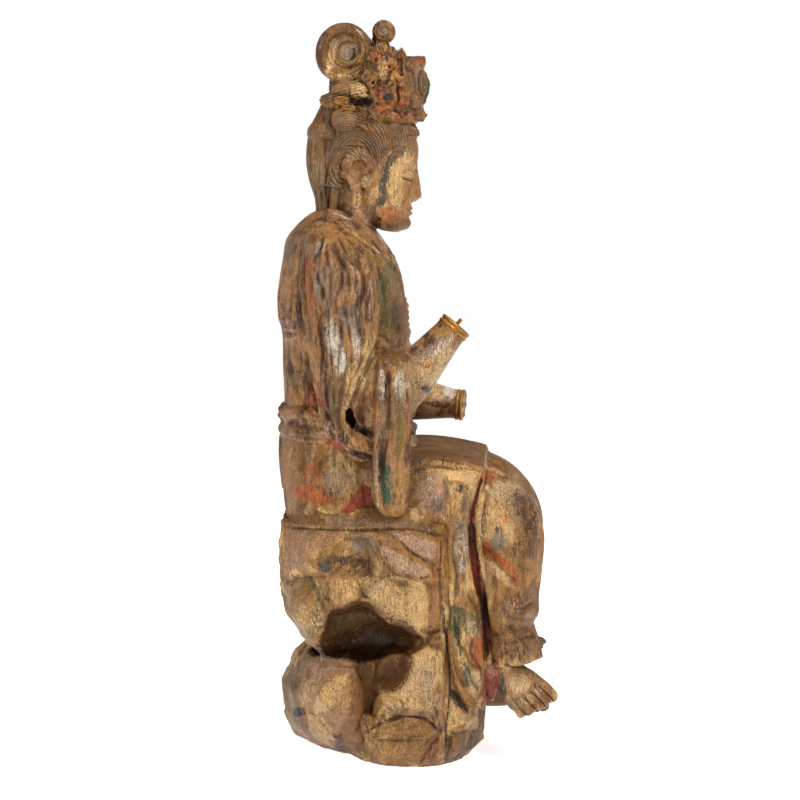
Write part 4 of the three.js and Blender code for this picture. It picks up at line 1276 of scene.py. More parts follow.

# The rock's paint, from the seat down, with painted shade in the cave and down the valley and a painted shadow over
# the pillar.
ROCK_PAINTS: tuple[Paint, ...] = (
    Plane(((282, 506), (291, 506), (324, 512), (348, 514), (376, 517), (403, 519), (435, 525), (439, 534), (415, 530),
        (388, 528), (360, 528), (330, 529), (305, 526), (281, 525)), BROWN, 0.75),
    Plane(((324, 516), (376, 519), (423, 524), (435, 531), (388, 527), (330, 527)), ASH, 0.5),
    Plane(((282, 525), (330, 530), (343, 533), (324, 547), (306, 560), (285, 579), (282, 571)), TAN, 0.7),
    Plane(((305, 539), (328, 535), (312, 553), (291, 563), (289, 549)), ROSE, 0.35),
    Plane(((343, 533), (376, 530), (382, 547), (384, 559), (376, 579), (364, 594), (344, 606), (330, 606), (324, 583),
        (314, 571), (306, 560)), OCHRE, 0.75),
    Plane(((348, 535), (376, 532), (380, 547), (372, 557), (358, 553), (350, 547)), ASH, 0.5),
    Patch(327, 566, 9, 9, SLATE, 0.7, 0, 1.5), Patch(345, 560, 11, 7, UMBER, 0.65, -10, 1.6),
    Patch(361, 566, 12, 10, UMBER, 0.7, 20, 1.6), Patch(352, 573, 18, 5, SLATE, 0.45, 0, 1.5),
    Plane(((330, 579), (360, 579), (358, 598), (344, 605), (333, 605), (328, 594)), CREAM, 0.55, 9),
    Plane(((376, 560), (384, 560), (382, 577), (364, 587), (362, 586), (372, 573)), CREAM, 0.7),
    Plane(((384, 530), (403, 531), (421, 536), (433, 542), (437, 549), (435, 557), (431, 564), (415, 553), (401, 542),
        (391, 534)), ROSE, 0.8, 2),
    Plane(((384, 532), (393, 536), (403, 544), (415, 555), (431, 565), (429, 568), (415, 560), (401, 550), (391, 542),
        (382, 539)), OCHRE, 0.7, 2),
    Plane(((379, 544), (391, 547), (403, 555), (415, 562), (429, 568), (429, 575), (426, 578), (411, 575), (399, 574),
        (388, 565), (382, 555)), ROSE, 0.85, 2),
    Plane(((384, 551), (403, 559), (421, 569), (423, 576), (403, 571), (390, 563)), BONE, 0.5),
    Plane(((364, 594), (373, 585), (384, 579), (393, 575), (407, 577), (425, 580), (428, 598), (429, 618), (429, 638),
        (421, 636), (411, 628), (391, 618), (376, 606)), CREAM, 0.85, 3),
    Plane(((364, 594), (376, 583), (395, 576), (391, 583), (380, 588), (376, 602)), BONE, 0.6),
    Plane(((429, 579), (433, 567), (437, 559), (440, 579), (441, 634), (431, 638)), OCHRE, 0.8, 3),
    Plane(((433, 571), (437, 571), (435, 618), (433, 618)), ORANGE, 0.5),
    Plane(((283, 588), (289, 580), (301, 577), (318, 579), (330, 589), (326, 606), (322, 618), (330, 624), (318, 638),
        (307, 642), (301, 634), (293, 630), (285, 606)), MOSS, 0.5, 4),
    Plane(((291, 590), (307, 586), (318, 598), (312, 618), (305, 630), (295, 626), (289, 606)), OCHRE, 0.7),
    Plane(((295, 606), (310, 606), (308, 624), (299, 628)), CREAM, 0.5),
    Plane(((322, 581), (330, 586), (328, 604), (323, 602), (318, 590)), CREAM, 0.4),
    # Painted shade in the cave: umber over its mouth and darker core, soot along its lower lip and brown in its right
    # end.
    Plane(((330, 609), (344, 605), (356, 601), (368, 602), (382, 611), (391, 618), (403, 621), (413, 628), (391, 634),
        (364, 644), (344, 655), (324, 655), (314, 650), (322, 630)), UMBER, 0.75, 7),
    Plane(((332, 618), (360, 612), (376, 618), (358, 628), (330, 634)), MOSS, 0.5, 10),
    Plane(((350, 646), (368, 632), (384, 625), (403, 620), (417, 630), (421, 638), (409, 650), (391, 653), (384, 659),
        (364, 663), (349, 658)), UMBER, 0.9, 5),
    Plane(((317, 649), (330, 653), (350, 656), (368, 660), (366, 666), (344, 662), (322, 659), (313, 655)),
        SOOT, 0.8),
    Plane(((401, 638), (415, 638), (423, 644), (417, 655), (407, 650)), BROWN, 0.5),
    Plane(((384, 651), (401, 644), (412, 656), (412, 668), (406, 681), (399, 689), (391, 692), (382, 690), (372, 677),
        (376, 662)), BROWN, 0.85, 3),
    Plane(((318, 660), (348, 660), (372, 668), (382, 691), (372, 699), (367, 705), (365, 725), (364, 737), (330, 737),
        (310, 715), (303, 697)), TAN, 0.75),
    Plane(((284, 668), (294, 664), (300, 700), (304, 730), (340, 752), (362, 756), (362, 768), (330, 764), (296, 744),
        (282, 720)), BROWN, 0.8, 8),
    Plane(((313, 704), (322, 688), (336, 676), (348, 672), (347, 684), (333, 706), (324, 713), (314, 714)),
        CREAM, 0.75, 4),
    Plane(((302, 652), (318, 660), (330, 668), (318, 680), (303, 692), (297, 684)), ROSE, 0.45, 6),
    # Painted shadow: the dark brown strip down the valley beside the pillar.
    Plane(((350, 673), (381, 693), (367, 704), (365, 727), (366, 752), (344, 754), (334, 737), (348, 717),
        (350, 695)), BROWN, 0.95, 9),
    Plane(((285, 681), (295, 666), (307, 648), (312, 658), (303, 677), (297, 693), (299, 705), (301, 735), (289, 730),
        (284, 715)), MOSS, 0.55, 5),
    Plane(((302, 689), (318, 681), (322, 687), (308, 699), (301, 709)), BONE, 0.45, 5),
    Plane(((294, 708), (304, 707), (306, 715), (298, 718), (293, 716)), SOOT, 1.0, 2),
    Plane(((308, 714), (322, 717), (332, 727), (330, 746), (318, 742), (308, 731)), CREAM, 0.6, 5),
    Plane(((333, 735), (343, 733), (346, 752), (334, 750)), UMBER, 0.75, 5),
    Plane(((413, 652), (423, 648), (444, 650), (444, 660), (437, 666), (434, 693), (433, 715), (419, 711), (384, 705),
        (382, 695), (401, 690), (411, 674)), CREAM, 0.6, 3),
    Plane(((413, 660), (433, 658), (433, 693), (415, 697), (391, 697), (407, 683)), BONE, 0.6, 8),
    Plane(((423, 669), (434, 668), (433, 715), (421, 711)), ASH, 0.45, 9),
    Plane(((386, 704), (433, 714), (431, 721), (407, 717), (386, 715)), ASH, 0.55, 8),
    # Painted shadow: a dark curved smudge over the top of the lower pillar, right of the cave.
    Stroke(((421, 650), (427, 642), (436, 638), (448, 639)), 3.4, UMBER, 0.6),
    Plane(((382, 694), (384, 705), (376, 717), (370, 731), (366, 723), (368, 703)), OCHRE, 0.85, 2),
    Plane(((370, 733), (384, 721), (403, 718), (421, 719), (433, 724), (437, 742), (423, 743), (399, 738),
        (373, 737)), OCHRE, 0.7, 5),
    Plane(((368, 738), (399, 739), (435, 744), (429, 756), (422, 765), (384, 762), (372, 754)), OCHRE, 0.75, 3),
    Plane(((376, 741), (403, 742), (423, 747), (407, 756), (384, 754)), CREAM, 0.3, 9),
    Plane(((435, 693), (444, 693), (443, 737), (436, 735), (433, 717)), ROSE, 0.6),
    Plane(((449, 687), (463, 697), (471, 715), (461, 709), (450, 703)), SOOT, 0.9, 4),
    Plane(((445, 697), (452, 700), (463, 713), (478, 717), (482, 726), (465, 724), (446, 731)), CREAM, 0.75, 3),
    Plane(((445, 733), (478, 728), (484, 726), (481, 741), (463, 758), (446, 763)), UMBER, 0.7, 4),
    Plane(((478, 708), (486, 710), (485, 727), (478, 729)), UMBER, 0.8, 2),
    Plane(((453, 735), (469, 735), (459, 752), (449, 756)), BROWN, 0.5, 8),
    Stroke(((281, 526), (330, 530), (387, 529), (415, 530), (438, 536)), 2.0, UMBER, 0.6),
    Stroke(((284, 586), (289, 580), (301, 577), (318, 579), (330, 590)), 1.8, UMBER, 0.5),
    Stroke(((330, 579), (327, 590), (330, 606)), 1.8, UMBER, 0.4),
    Stroke(((379, 540), (385, 556), (392, 567), (403, 576), (418, 578), (428, 577)), 1.5, UMBER, 0.6),
    Stroke(((388, 533), (402, 543), (416, 555), (432, 565)), 1.4, UMBER, 0.6),
    Stroke(((437, 549), (436, 557), (431, 564)), 1.1, SOOT, 0.7),
    Stroke(((363, 594), (372, 584), (384, 577), (393, 575)), 1.8, UMBER, 0.5),
    Stroke(((364, 594), (376, 604), (391, 616), (408, 623)), 1.8, UMBER, 0.55),
    Stroke(((406, 579), (406, 600), (406, 620)), 0.8, BROWN, 0.5),
    Stroke(((412, 657), (410, 672), (401, 687), (391, 691), (381, 690)), 1.2, SOOT, 0.7),
    Stroke(((381, 693), (368, 704), (366, 722), (369, 740)), 1.2, UMBER, 0.8),
    Stroke(((368, 733), (381, 722), (402, 717), (425, 719), (440, 732)), 2.0, UMBER, 0.6),
    Stroke(((369, 737), (399, 739), (436, 743)), 1.3, UMBER, 0.5),
    Stroke(((309, 710), (330, 735), (332, 752)), 1.0, UMBER, 0.6),
    Stroke(((344, 605), (356, 601), (368, 603), (381, 612)), 2.2, UMBER, 0.45),
    Stroke(((342, 536), (325, 547), (308, 560)), 1.4, RED, 0.4),
    Stroke(((437, 538), (436, 570), (430, 600), (428, 640)), 2.0, RED, 0.5),
    Stroke(((286, 640), (302, 656), (290, 676)), 3.0, RED, 0.4),
    Stroke(((434, 705), (441, 731), (430, 748), (418, 766)), 1.5, MAROON, 0.6),
    Stroke(((441, 540), (440, 580), (446, 634), (450, 682), (446, 731), (446, 766)), 0.9, SOOT, 0.9),
)


@dataclass
class Rock(CarvedPiece):
    """The rock that the figure sits on, with its winding hollow."""

    name: str = "rock"
    grain: float = 2.1
    limit: int = 178_000
    rubbing: int = 2
    coats: Coats = (OCHRE, CREAM, BROWN)
    seed: int = 11
    hollow: float = 0.5
    deep: float = 1.1
    cave_focus: Row = (388, 642)
    cave_depth: float = 98.0
    bowl_focus: Row = (388, 664)
    bowl_depth: float = 62.0
    valley_focus: Row = (365, 700)
    valley_depth: float = 34.0
    cuts: tuple[Cut, ...] = ROCK_CUTS
    paints: tuple[Paint, ...] = ROCK_PAINTS

    def forms(self) -> list[Form]:
        """Faceted boulders that run together."""
        seat = boulder([
            (358, (-92, 200), (-150, 146), (-154, -30), (-105, -72), (100, -72), (148, -25), (146, 140), (84, 208)),
            (318, (-94, 202), (-156, 146), (-168, -18), (-118, -80), (104, -80), (158, -20), (156, 130), (88, 212)),
            (262, (-88, 202), (-150, 152), (-168, 4), (-122, -82), (104, -84), (160, -10), (152, 134), (88, 212)),
            (218, (-80, 196), (-138, 158), (-164, 62), (-116, -82), (98, -84), (150, 0), (146, 138), (84, 210)),
            (150, (-44, 160), (-108, 130), (-138, 58), (-90, -72), (90, -80), (130, 0), (124, 130), (34, 168)),
        ])
        slab = boulder([
            (346, (-150, 80), (-163, 66), (-168, -12), (-150, -30), (-130, 20)),
            (318, (-150, 70), (-172, 30), (-172, -14), (-150, -34), (-130, 20)),
            (292, (-150, 24), (-168, 14), (-166, -14), (-140, -10)),
        ])
        back_lobe = boulder([
            (0, (44, 194), (-29, 150), (-72, 108), (-60, 40), (100, 40), (104, 160)),
            (34, (30, 208), (-50, 176), (-104, 124), (-116, 90), (-60, 30), (120, 40), (116, 168)),
            (92, (20, 212), (-60, 190), (-118, 138), (-130, 90), (-60, 30), (120, 40), (112, 172)),
            (140, (12, 192), (-52, 176), (-112, 132), (-122, 86), (-50, 36), (112, 46), (104, 164)),
            (158, (10, 172), (-50, 158), (-104, 124), (-110, 80), (-40, 40), (110, 50), (100, 152)),
        ])
        foot_block = boulder([
            (0, (-68, 108), (-113, 80), (-140, 43), (-145, -11), (-136, -37), (-60, -60), (0, 60)),
            (38, (-108, 96), (-148, 52), (-155, -8), (-142, -40), (-60, -60), (0, 60)),
            (70, (-104, 84), (-144, 50), (-150, -8), (-140, -38), (-60, -60), (0, 60)),
        ])
        pillar = boulder([
            (40, (-134, 64), (-144, -2), (-134, -38), (-40, -50), (-40, 60)),
            (116, (-130, 40), (-145, 4), (-138, -40), (-40, -60), (-40, 60)),
            (196, (-120, 10), (-138, -10), (-132, -44), (-40, -60), (-40, 60)),
        ])
        front = boulder([
            (0, (-136, -37), (-94, -70), (-29, -80), (30, -98), (90, -84), (90, 20), (-100, 0)),
            (60, (-134, -40), (-104, -84), (-30, -102), (40, -104), (98, -88), (90, 20), (-100, 0)),
            (175, (-122, -44), (-100, -80), (-30, -92), (90, -88), (90, 20), (-100, 0)),
        ])
        far_side = boulder([
            (0, (96, -76), (142, -30), (146, 60), (108, 150), (0, 120), (0, -60)),
            (70, (100, -84), (152, -30), (156, 60), (118, 156), (0, 120), (0, -60)),
            (190, (90, -74), (136, -20), (140, 70), (104, 150), (0, 120), (0, -60)),
        ])
        core = boulder([
            (20, (-50, 120), (-40, -60), (100, -60), (100, 140)),
            (240, (-60, 130), (-50, -60), (110, -60), (110, 140)),
        ])
        ledge = boulder([
            (344, (-92, 190), (-150, 146), (-160, 60), (-161, -20), (-120, -40), (-60, 120)),
            (352, (-92, 194), (-152, 150), (-158, 60), (-159, -26), (-120, -44), (-60, 120)),
            (384, (-96, 176), (-134, 140), (-142, 60), (-142, -6), (-110, -20), (-60, 120)),
        ])
        return [seat, ledge, slab, back_lobe, foot_block, pillar, front, far_side, core]

    def hollows(self) -> list[Form]:
        """The hollow: a cave with a wide scoop, a bowl under it, a valley down and a notch at the back."""
        view = PhotoView()
        return [
            pit(view, CAVE, self.cave_focus, self.cave_depth),
            pit(view, BOWL, self.bowl_focus, self.bowl_depth),
            pit(view, VALLEY, self.valley_focus, self.valley_depth, tall=0.75, power=1.0),
            ball((-92, 170, 155), (84, 24, 8), pitch=-8, yaw=-30),
        ]

    def relief(self, spots: Spots) -> Array:
        """Broad adze marks, and flaked rims on the slabs."""
        broad = 4.0 * (spots.cloud(46, 21) - 0.5)
        flaked = 1.8 * smooth(spots.cloud(20, 22, (1.5, 1.5, 1)), 0.48, 0.53)
        scooped = smooth(spots.normals[:, 0], -0.2, 0.2) * smooth(spots.points[:, 0], -60, -100)
        outside = smooth(-spots.points[:, 0], 108, 124)
        gouged = 8.0 * (spots.cloud(30, 24, (1, 1.6, 1)) - 0.5) * (1 - outside) * spots.sideways
        near = smooth(spots.points[:, 0], 40, -40)
        planes = 2.1 * ROCK_FACETS.of(spots) * outside * near
        return broad * (1 - scooped) + flaked * (1 - spots.sideways) + planes + gouged

    def bare(self, spots: Spots) -> Array:
        """The far side, which has the ground coat alone."""
        return smooth(spots.points[:, 0], -30, 30)


# Folds of the near side.
LOWER_ROBE_CUTS: tuple[Cut, ...] = (
    Cut(((300, 452), (306, 480), (303, 512)), 3.5, 2.2),
    Cut(((318, 455), (325, 485), (318, 515)), 3.0, 1.8),
    Cut(((340, 460), (352, 480), (358, 510)), 3.0, 2.0),
    Cut(((444, 456), (442, 465)), 0.8, 1.6, 0.1),
    Cut(((409, 452), (444, 458), (483, 468)), 1.8, -1.6),
    Cut(((484, 468), (479, 490), (473, 510), (472, 530), (477, 560), (482, 600), (486, 640), (487, 662)),
        3.0, 9.0, 0.2, 0.08),
    Cut(((485, 545), (498, 566), (520, 584)), 3.4, 3.2),
    Cut(((496, 540), (512, 562), (534, 572)), 2.6, 1.8),
    Cut(((513, 610), (524, 608), (534, 602)), 2.2, 3.4),
    Cut(((498, 600), (512, 618), (536, 620)), 2.6, 2.6),
    Cut(((506, 624), (519, 637), (537, 634)), 2.4, 2.6),
    Cut(((494, 630), (498, 646), (500, 660)), 2.4, 2.2),
    Cut(((515, 645), (520, 655), (520, 664)), 2.2, 2.0),
    Cut(((534, 640), (537, 650), (537, 660)), 2.2, 2.0),
    Cut(((441, 540), (439, 565), (444, 590), (448, 615), (447, 636)), 2.4, 4.6),
    Cut(((456, 524), (453, 552), (458, 580), (455, 604), (462, 622)), 2.6, 4.0),
    Cut(((466, 548), (463, 576), (470, 596), (479, 612), (478, 634)), 2.4, 4.4),
    Cut(((452, 606), (457, 634), (463, 656), (470, 674), (480, 694)), 2.4, 4.4),
    Cut(((462, 612), (466, 632), (464, 650), (472, 664), (484, 672)), 2.2, 4.0),
    Cut(((474, 636), (472, 654), (481, 670), (482, 690)), 2.0, 3.6),
    Cut(((450, 650), (456, 672), (466, 690)), 2.2, 3.0),
    Cut(((515, 701), (528, 717)), 0.9, 2.6, 0.1),
    Cut(((524, 697), (540, 714)), 0.9, 2.6, 0.1),
    Cut(((531, 691), (548, 709)), 0.9, 2.6, 0.1),
    Cut(((538, 685), (555, 702)), 0.9, 2.8, 0.1),
    Cut(((440, 470), (446, 495), (441, 512)), 3.0, 1.2),
    Cut(((462, 480), (464, 500), (460, 516)), 3.0, 1.2),
)

# The paint of the hips, the lap, the knee and the falls, with painted shade between the toes and along the hem's edge
# over the foot.
LOWER_ROBE_PAINTS: tuple[Paint, ...] = (
    Patch(291, 480, 9, 36, TAN, 0.6), Patch(316, 492, 20, 9, RED, 0.55, 14), Patch(314, 496, 22, 9, ORANGE, 0.9, 14),
    Patch(312, 478, 10, 20, ORANGE, 0.5), Patch(340, 478, 20, 18, BONE, 0.5), Patch(336, 482, 14, 12, ASH, 0.5),
    Patch(330, 492, 22, 8, UMBER, 0.4, 15),
    Plane(((340, 513), (350, 502), (357, 490), (364, 484), (371, 487), (374, 505), (377, 519), (358, 516)),
        RED, 1.0, 4.0),
    Patch(368, 476, 8, 8, ROSE, 0.6), Patch(455, 472, 30, 10, CREAM, 0.8, 12), Patch(446, 458, 38, 4, BROWN, 0.8, 10),
    Patch(418, 466, 10, 12, SLATE, 0.6), Patch(432, 498, 18, 22, ROSE, 0.6), Patch(438, 506, 9, 8, SLATE, 0.75),
    Patch(411, 512, 6, 8, SOOT, 0.8), Patch(462, 489, 13, 5, SOOT, 0.5), Patch(430, 490, 12, 16, WHITE, 0.35),
    Patch(465, 505, 4, 12, ASH, 0.6), Patch(452, 512, 14, 16, CREAM, 0.45), Patch(489, 476, 8, 8, ORANGE, 0.7),
    Patch(500, 512, 16, 30, CREAM, 0.5), Patch(508, 492, 18, 12, BONE, 0.75, 20), Patch(501, 534, 16, 16, CREAM, 0.7),
    Patch(506, 519, 7, 6, ORANGE, 0.5), Patch(517, 510, 8, 17, ASH, 0.6), Patch(508, 500, 24, 8, SLATE, 0.35, 0, 1.5),
    Patch(530, 520, 9, 44, UMBER, 0.7, -4, 1.5), Patch(520, 548, 18, 12, UMBER, 0.5, 0, 1.6),
    Patch(484, 520, 4, 26, UMBER, 0.5, 4, 1.5), Patch(499, 536, 6, 11, SLATE, 0.7, 0, 1.5),
    Patch(493, 545, 5, 8, UMBER, 0.6, 0, 1.5), Patch(520, 505, 7, 20, UMBER, 0.5, -8, 1.5),
    Patch(499, 545, 9, 12, ASH, 0.6, -30), Patch(486, 549, 6, 9, ORANGE, 0.8),
    Patch(503, 562, 20, 5, ORANGE, 0.75, 42), Patch(498, 573, 20, 5, BONE, 0.65, 44),
    Patch(515, 580, 8, 6, RED, 0.55), Patch(534, 580, 4, 5, RED, 0.55), Patch(520, 610, 22, 26, BROWN, 0.8),
    Patch(516, 606, 14, 16, UMBER, 0.45), Patch(514, 604, 12, 8, ROSE, 0.35), Patch(518, 642, 32, 22, BROWN, 0.85),
    Patch(512, 650, 22, 14, UMBER, 0.45), Patch(526, 626, 12, 5, ORANGE, 0.35, 20),
    Patch(462, 552, 8, 24, WHITE, 0.5), Patch(462, 530, 12, 14, ASH, 0.5), Patch(442, 574, 5, 26, SOOT, 0.75),
    Patch(450, 566, 7, 24, OCHRE, 0.6), Patch(473, 622, 6, 10, MOSS, 0.7), Patch(471, 620, 4, 7, BONE, 0.5),
    Patch(455, 640, 6, 20, OCHRE, 0.5), Patch(477, 652, 6, 18, ORANGE, 0.65), Patch(472, 684, 10, 14, BONE, 0.7),
    Patch(468, 680, 5, 10, GREEN, 0.5), Patch(525, 690, 30, 26, TAN, 0.9), Patch(520, 684, 12, 13, BONE, 0.7),
    Patch(499, 688, 8, 22, SLATE, 0.75), Patch(510, 704, 10, 8, ASH, 0.5), Patch(541, 702, 16, 8, BROWN, 0.55, -42),
    Patch(532, 696, 15, 5, BONE, 0.55, -42),
    # Painted shade in the gaps between the toes, over the cuts that part them.
    Stroke(((516, 702), (528, 717)), 0.8, SOOT, 0.8),
    Stroke(((525, 698), (540, 714)), 0.8, SOOT, 0.8),
    Stroke(((532, 692), (548, 709)), 0.8, SOOT, 0.8),
    Stroke(((539, 686), (555, 702)), 0.8, SOOT, 0.8),
    Stroke(((487, 662), (490, 700)), 1.6, SOOT, 0.6),
    Patch(546, 698, 8, 4, ORANGE, 0.35, -42),
    Plane(((481, 476), (484, 480), (479, 495), (476, 509), (475, 528), (477, 549), (482, 571), (486, 592), (488, 608),
        (491, 629), (490, 651), (487, 663), (483, 659), (482, 640), (481, 621), (478, 600), (473, 583), (469, 558),
        (468, 535), (470, 512), (475, 493)), MAROON, 1.0, 1.5),
    Plane(((480, 478), (483, 479), (477, 497), (474, 514), (472, 535), (471, 535), (472, 512), (476, 493)),
        RED, 0.8, 2),
    Plane(((484, 672), (491, 662), (499, 663), (500, 674), (497, 688), (493, 699), (484, 706), (481, 693)),
        RED, 0.85, 3),
    Plane(((489, 665), (498, 666), (496, 678), (489, 676)), ROSE, 0.6, 4),
    Plane(((447, 604), (463, 606), (480, 619), (479, 629), (474, 640), (466, 636), (461, 643), (467, 663), (473, 676),
        (473, 684), (467, 687), (461, 678), (458, 659), (454, 642), (449, 631), (442, 629), (440, 613)),
        GREEN, 0.55, 12),
    Plane(((463, 617), (476, 621), (478, 631), (473, 639), (466, 633)), BONE, 0.6, 5),
    Plane(((473, 642), (480, 638), (481, 659), (478, 667), (474, 657)), ORANGE, 0.7, 4),
    Plane(((448, 629), (455, 642), (461, 672), (469, 693), (483, 706), (474, 703), (461, 693), (451, 674),
        (447, 648)), OCHRE, 0.8, 3),
    Plane(((468, 674), (478, 669), (482, 678), (480, 695), (473, 693)), BONE, 0.6, 6),
    Plane(((440, 545), (447, 558), (449, 600), (443, 629), (440, 606), (437, 575)), SLATE, 0.8, 5),
    Stroke(((409, 450), (444, 456), (483, 466)), 1.4, UMBER, 0.6),
    Stroke(((444, 456), (442, 465)), 0.8, SOOT, 0.9),
    # Painted shade along the lower edge of the hem, where it lies over the foot.
    Stroke(((490, 659), (501, 663), (519, 668), (540, 663)), 1.4, SOOT, 0.7),
)


@dataclass
class LowerRobe(CarvedPiece):
    """Hips, lap, legs and feet, with the robe over them and its falls at the sides."""

    name: str = "lower_robe"
    grain: float = 1.75
    limit: int = 192_000
    rubbing: int = 3
    coats: Coats = (OCHRE, CREAM, BROWN)
    seed: int = 5
    toes: tuple[Row, ...] = ((-26, 1.13), (-9, 1.14), (5, 1.10), (18, 1.05), (30, 0.98))
    cuts: tuple[Cut, ...] = LOWER_ROBE_CUTS
    paints: tuple[Paint, ...] = LOWER_ROBE_PAINTS

    def leg(self, hem: float, flare: float) -> Form:
        """A bent leg under cloth, from the thigh over the knee to the hem above the foot."""

        def gather(angle: Array, t: Array) -> Array:
            """Folds that deepen below the knee, with a swag and a tuck."""
            cloth = smooth(t, 0.4, 0.9) * 2.2 * np.cos(7 * angle)
            swag = 4 * bell(t, 0.66 + 0.03 * np.cos(angle), 0.04)
            tuck = -5 * bell(t, 0.76 + 0.02 * np.cos(angle), 0.04)
            return cloth + swag + tuck

        return skin([
            (-74, 40, 402, 60, 56), (-78, -30, 398, 59, 59), (-82, -106, 378, 58, 57), (-85, -137, 343, 55, 52),
            (-86, -142, 292, 52, 46), (-85, -138, 238, 50, 43), (-84, -136, 196, 48, 38),
            (-84, -144, hem + 16, 51, 41), (-84, -146 - flare / 2, hem, 52 + flare, 43 + flare),
        ], level=False, fold=gather, sides=120, rings=130)

    def foot(self, heel: Row, toe: Row, little: Row, thick: float) -> list[Form]:
        """A bare foot: a sole that broadens to the ball, and five toes with their nails."""
        start, end = np.array(heel, float), np.array(toe, float)
        forward = end - start
        length = float(np.linalg.norm(forward))
        forward /= length
        across = np.array(little, float) - forward * float(np.dot(little, forward))
        across /= np.linalg.norm(across)
        up = np.cross(across, forward)
        up *= np.sign(up[2])

        def along(f: float, w: float, rise: float = 0.0) -> Row:
            """A place by its share of the foot, its distance across it and its height."""
            return tuple(start + forward * f * length + across * w + up * rise)

        sole = skin([
            (*along(-0.2, 0), 14, 14), (*along(0, 0), 24, thick + 9), (*along(0.3, 0), 27, thick + 4),
            (*along(0.54, 0), 33, thick - 4, 2.4), (*along(0.70, 0, -1), 36, 10, 2.6),
            (*along(0.80, 0, -2), 34, 7, 2.6), (*along(0.86, 0, -3), 26, 4.5, 2.4),
        ], level=False, side=tuple(across), sides=48, rings=40)
        forms = [sole]
        for i in range(len(self.toes)):
            w, reach = self.toes[i]
            radius = 10.6 if i == 0 else 8.1 - 0.25 * i
            places = [
                along(0.62, w * 0.92, 0.0),
                along(reach - 0.25, w * 0.97, 4.5),
                along(reach - 0.14, w * 0.99, 4.0),
                along(reach - 0.05, w, 0.5),
            ]
            forms += roll(places, [radius * 0.9, radius * 0.95, radius * 0.9, radius])
            nail = along(reach - 0.02, w * 1.03, radius * 0.5)
            forms.append(ball(nail, (radius * 0.5, radius * 0.6, radius * 0.4), pitch=-32, sides=20))
        return forms

    def forms(self) -> list[Form]:
        """Everything under the waist."""
        folds = pleats(14, 3.0, 0.5)
        hips = skin([
            (0, 96, 340, 138, 99, 2.6), (0, 99, 385, 140, 103, 2.5), (0, 101, 430, 134, 105, 2.4),
            (0, 105, 480, 118, 100, 2.2),
        ], fold=lambda angle, t: (1 - 0.7 * t) * folds(angle, t), sides=200)

        def valley(angle: Array, t: Array) -> Array:
            """The dip between the thighs, and shallow folds."""
            return -14 * (0.4 + 0.6 * t) * bell(angle, math.pi / 2, 0.4) + 1.6 * np.cos(13 * angle)

        lap = skin([
            (0, 40, 402, 138, 66, 4), (0, -10, 402, 141, 67, 4.5), (0, -60, 399, 142, 64, 4.5),
            (0, -101, 396, 140, 57, 4.5), (0, -107, 396, 132, 49, 4.5),
        ], level=False, fold=valley, sides=200)
        lap = less(lap, block((0, -122, 378), (400, 60, 190), pitch=13))
        skirt = skin([
            (0, -84, 100, 76, 36, 2.6), (0, -80, 200, 82, 42, 2.6), (0, -74, 320, 92, 48, 2.6),
            (0, -60, 430, 96, 48, 2.6),
        ], fold=lambda angle, t: pleats(15, 1.0)(angle, t) * (4 + 4 * (1 - t)), sides=240)
        side_fall = skin([
            (-106, -92, 82, 6, 8), (-108, -86, 96, 17, 20), (-112, -78, 135, 25, 26), (-117, -73, 185, 28, 29),
            (-120, -69, 240, 27, 27), (-122, -60, 300, 25, 24), (-120, -59, 350, 23, 26), (-110, -56, 420, 22, 40),
        ], fold=lambda angle, t: (1 - 0.6 * t) * 3.2 * np.cos(7 * angle + 2.2 * np.sin(5 * t)))
        lining = skin([
            (-98, -112, 90, 6, 5), (-98, -110, 118, 16, 13), (-98, -106, 170, 20, 14), (-98, -94, 260, 24, 14),
            (-104, -86, 400, 28, 14),
        ])
        legs = [self.leg(150, 0), self.leg(122, 8).mirrored()]
        right = self.foot((-92, -125, 143), (-106, -180, 88), (-40, 48, -38), 18)
        left = self.foot((72, -106, 68), (82, -182, 46), (60, 8, -6), 17)
        ankle = skin([(70, -108, 62, 21, 23), (72, -110, 92, 20, 23), (78, -126, 150, 26, 28)])
        return [hips, lap, *legs, skirt, *pair(side_fall, lining), *right, *left, ankle]

    def tint(self, spots: Spots, colour: Array) -> Array:
        """The unlit brown of the far knee and the inner skirt."""
        brown = smooth(np.abs(spots.points[:, 0]), 66, 40) * smooth(spots.points[:, 2], 440, 400)
        far = smooth(spots.points[:, 0], 20, 60) * 0.45
        lap = smooth(spots.normals[:, 2], 0.5, 0.8) * smooth(spots.points[:, 2], 436, 444)
        weight = np.clip(0.55 * brown + far + 0.85 * lap, 0, 0.9)[:, None]
        return colour + weight * (BROWN.linear * 0.85 - colour)

    def bare(self, spots: Spots) -> Array:
        """The top of the lap and the far side."""
        lap = smooth(spots.normals[:, 2], 0.55, 0.8) * smooth(spots.points[:, 2], 436, 444)
        return np.clip(lap + 0.6 * smooth(spots.points[:, 0], 20, 60), 0, 1)


def arm_end(elbow: Row, wrist: Row) -> tuple[Array, Array]:
    """The middle of a wrist's end, and the way that the forearm points there."""
    a, b = np.array(elbow, float), np.array(wrist, float)
    return b, (b - a) / np.linalg.norm(b - a)


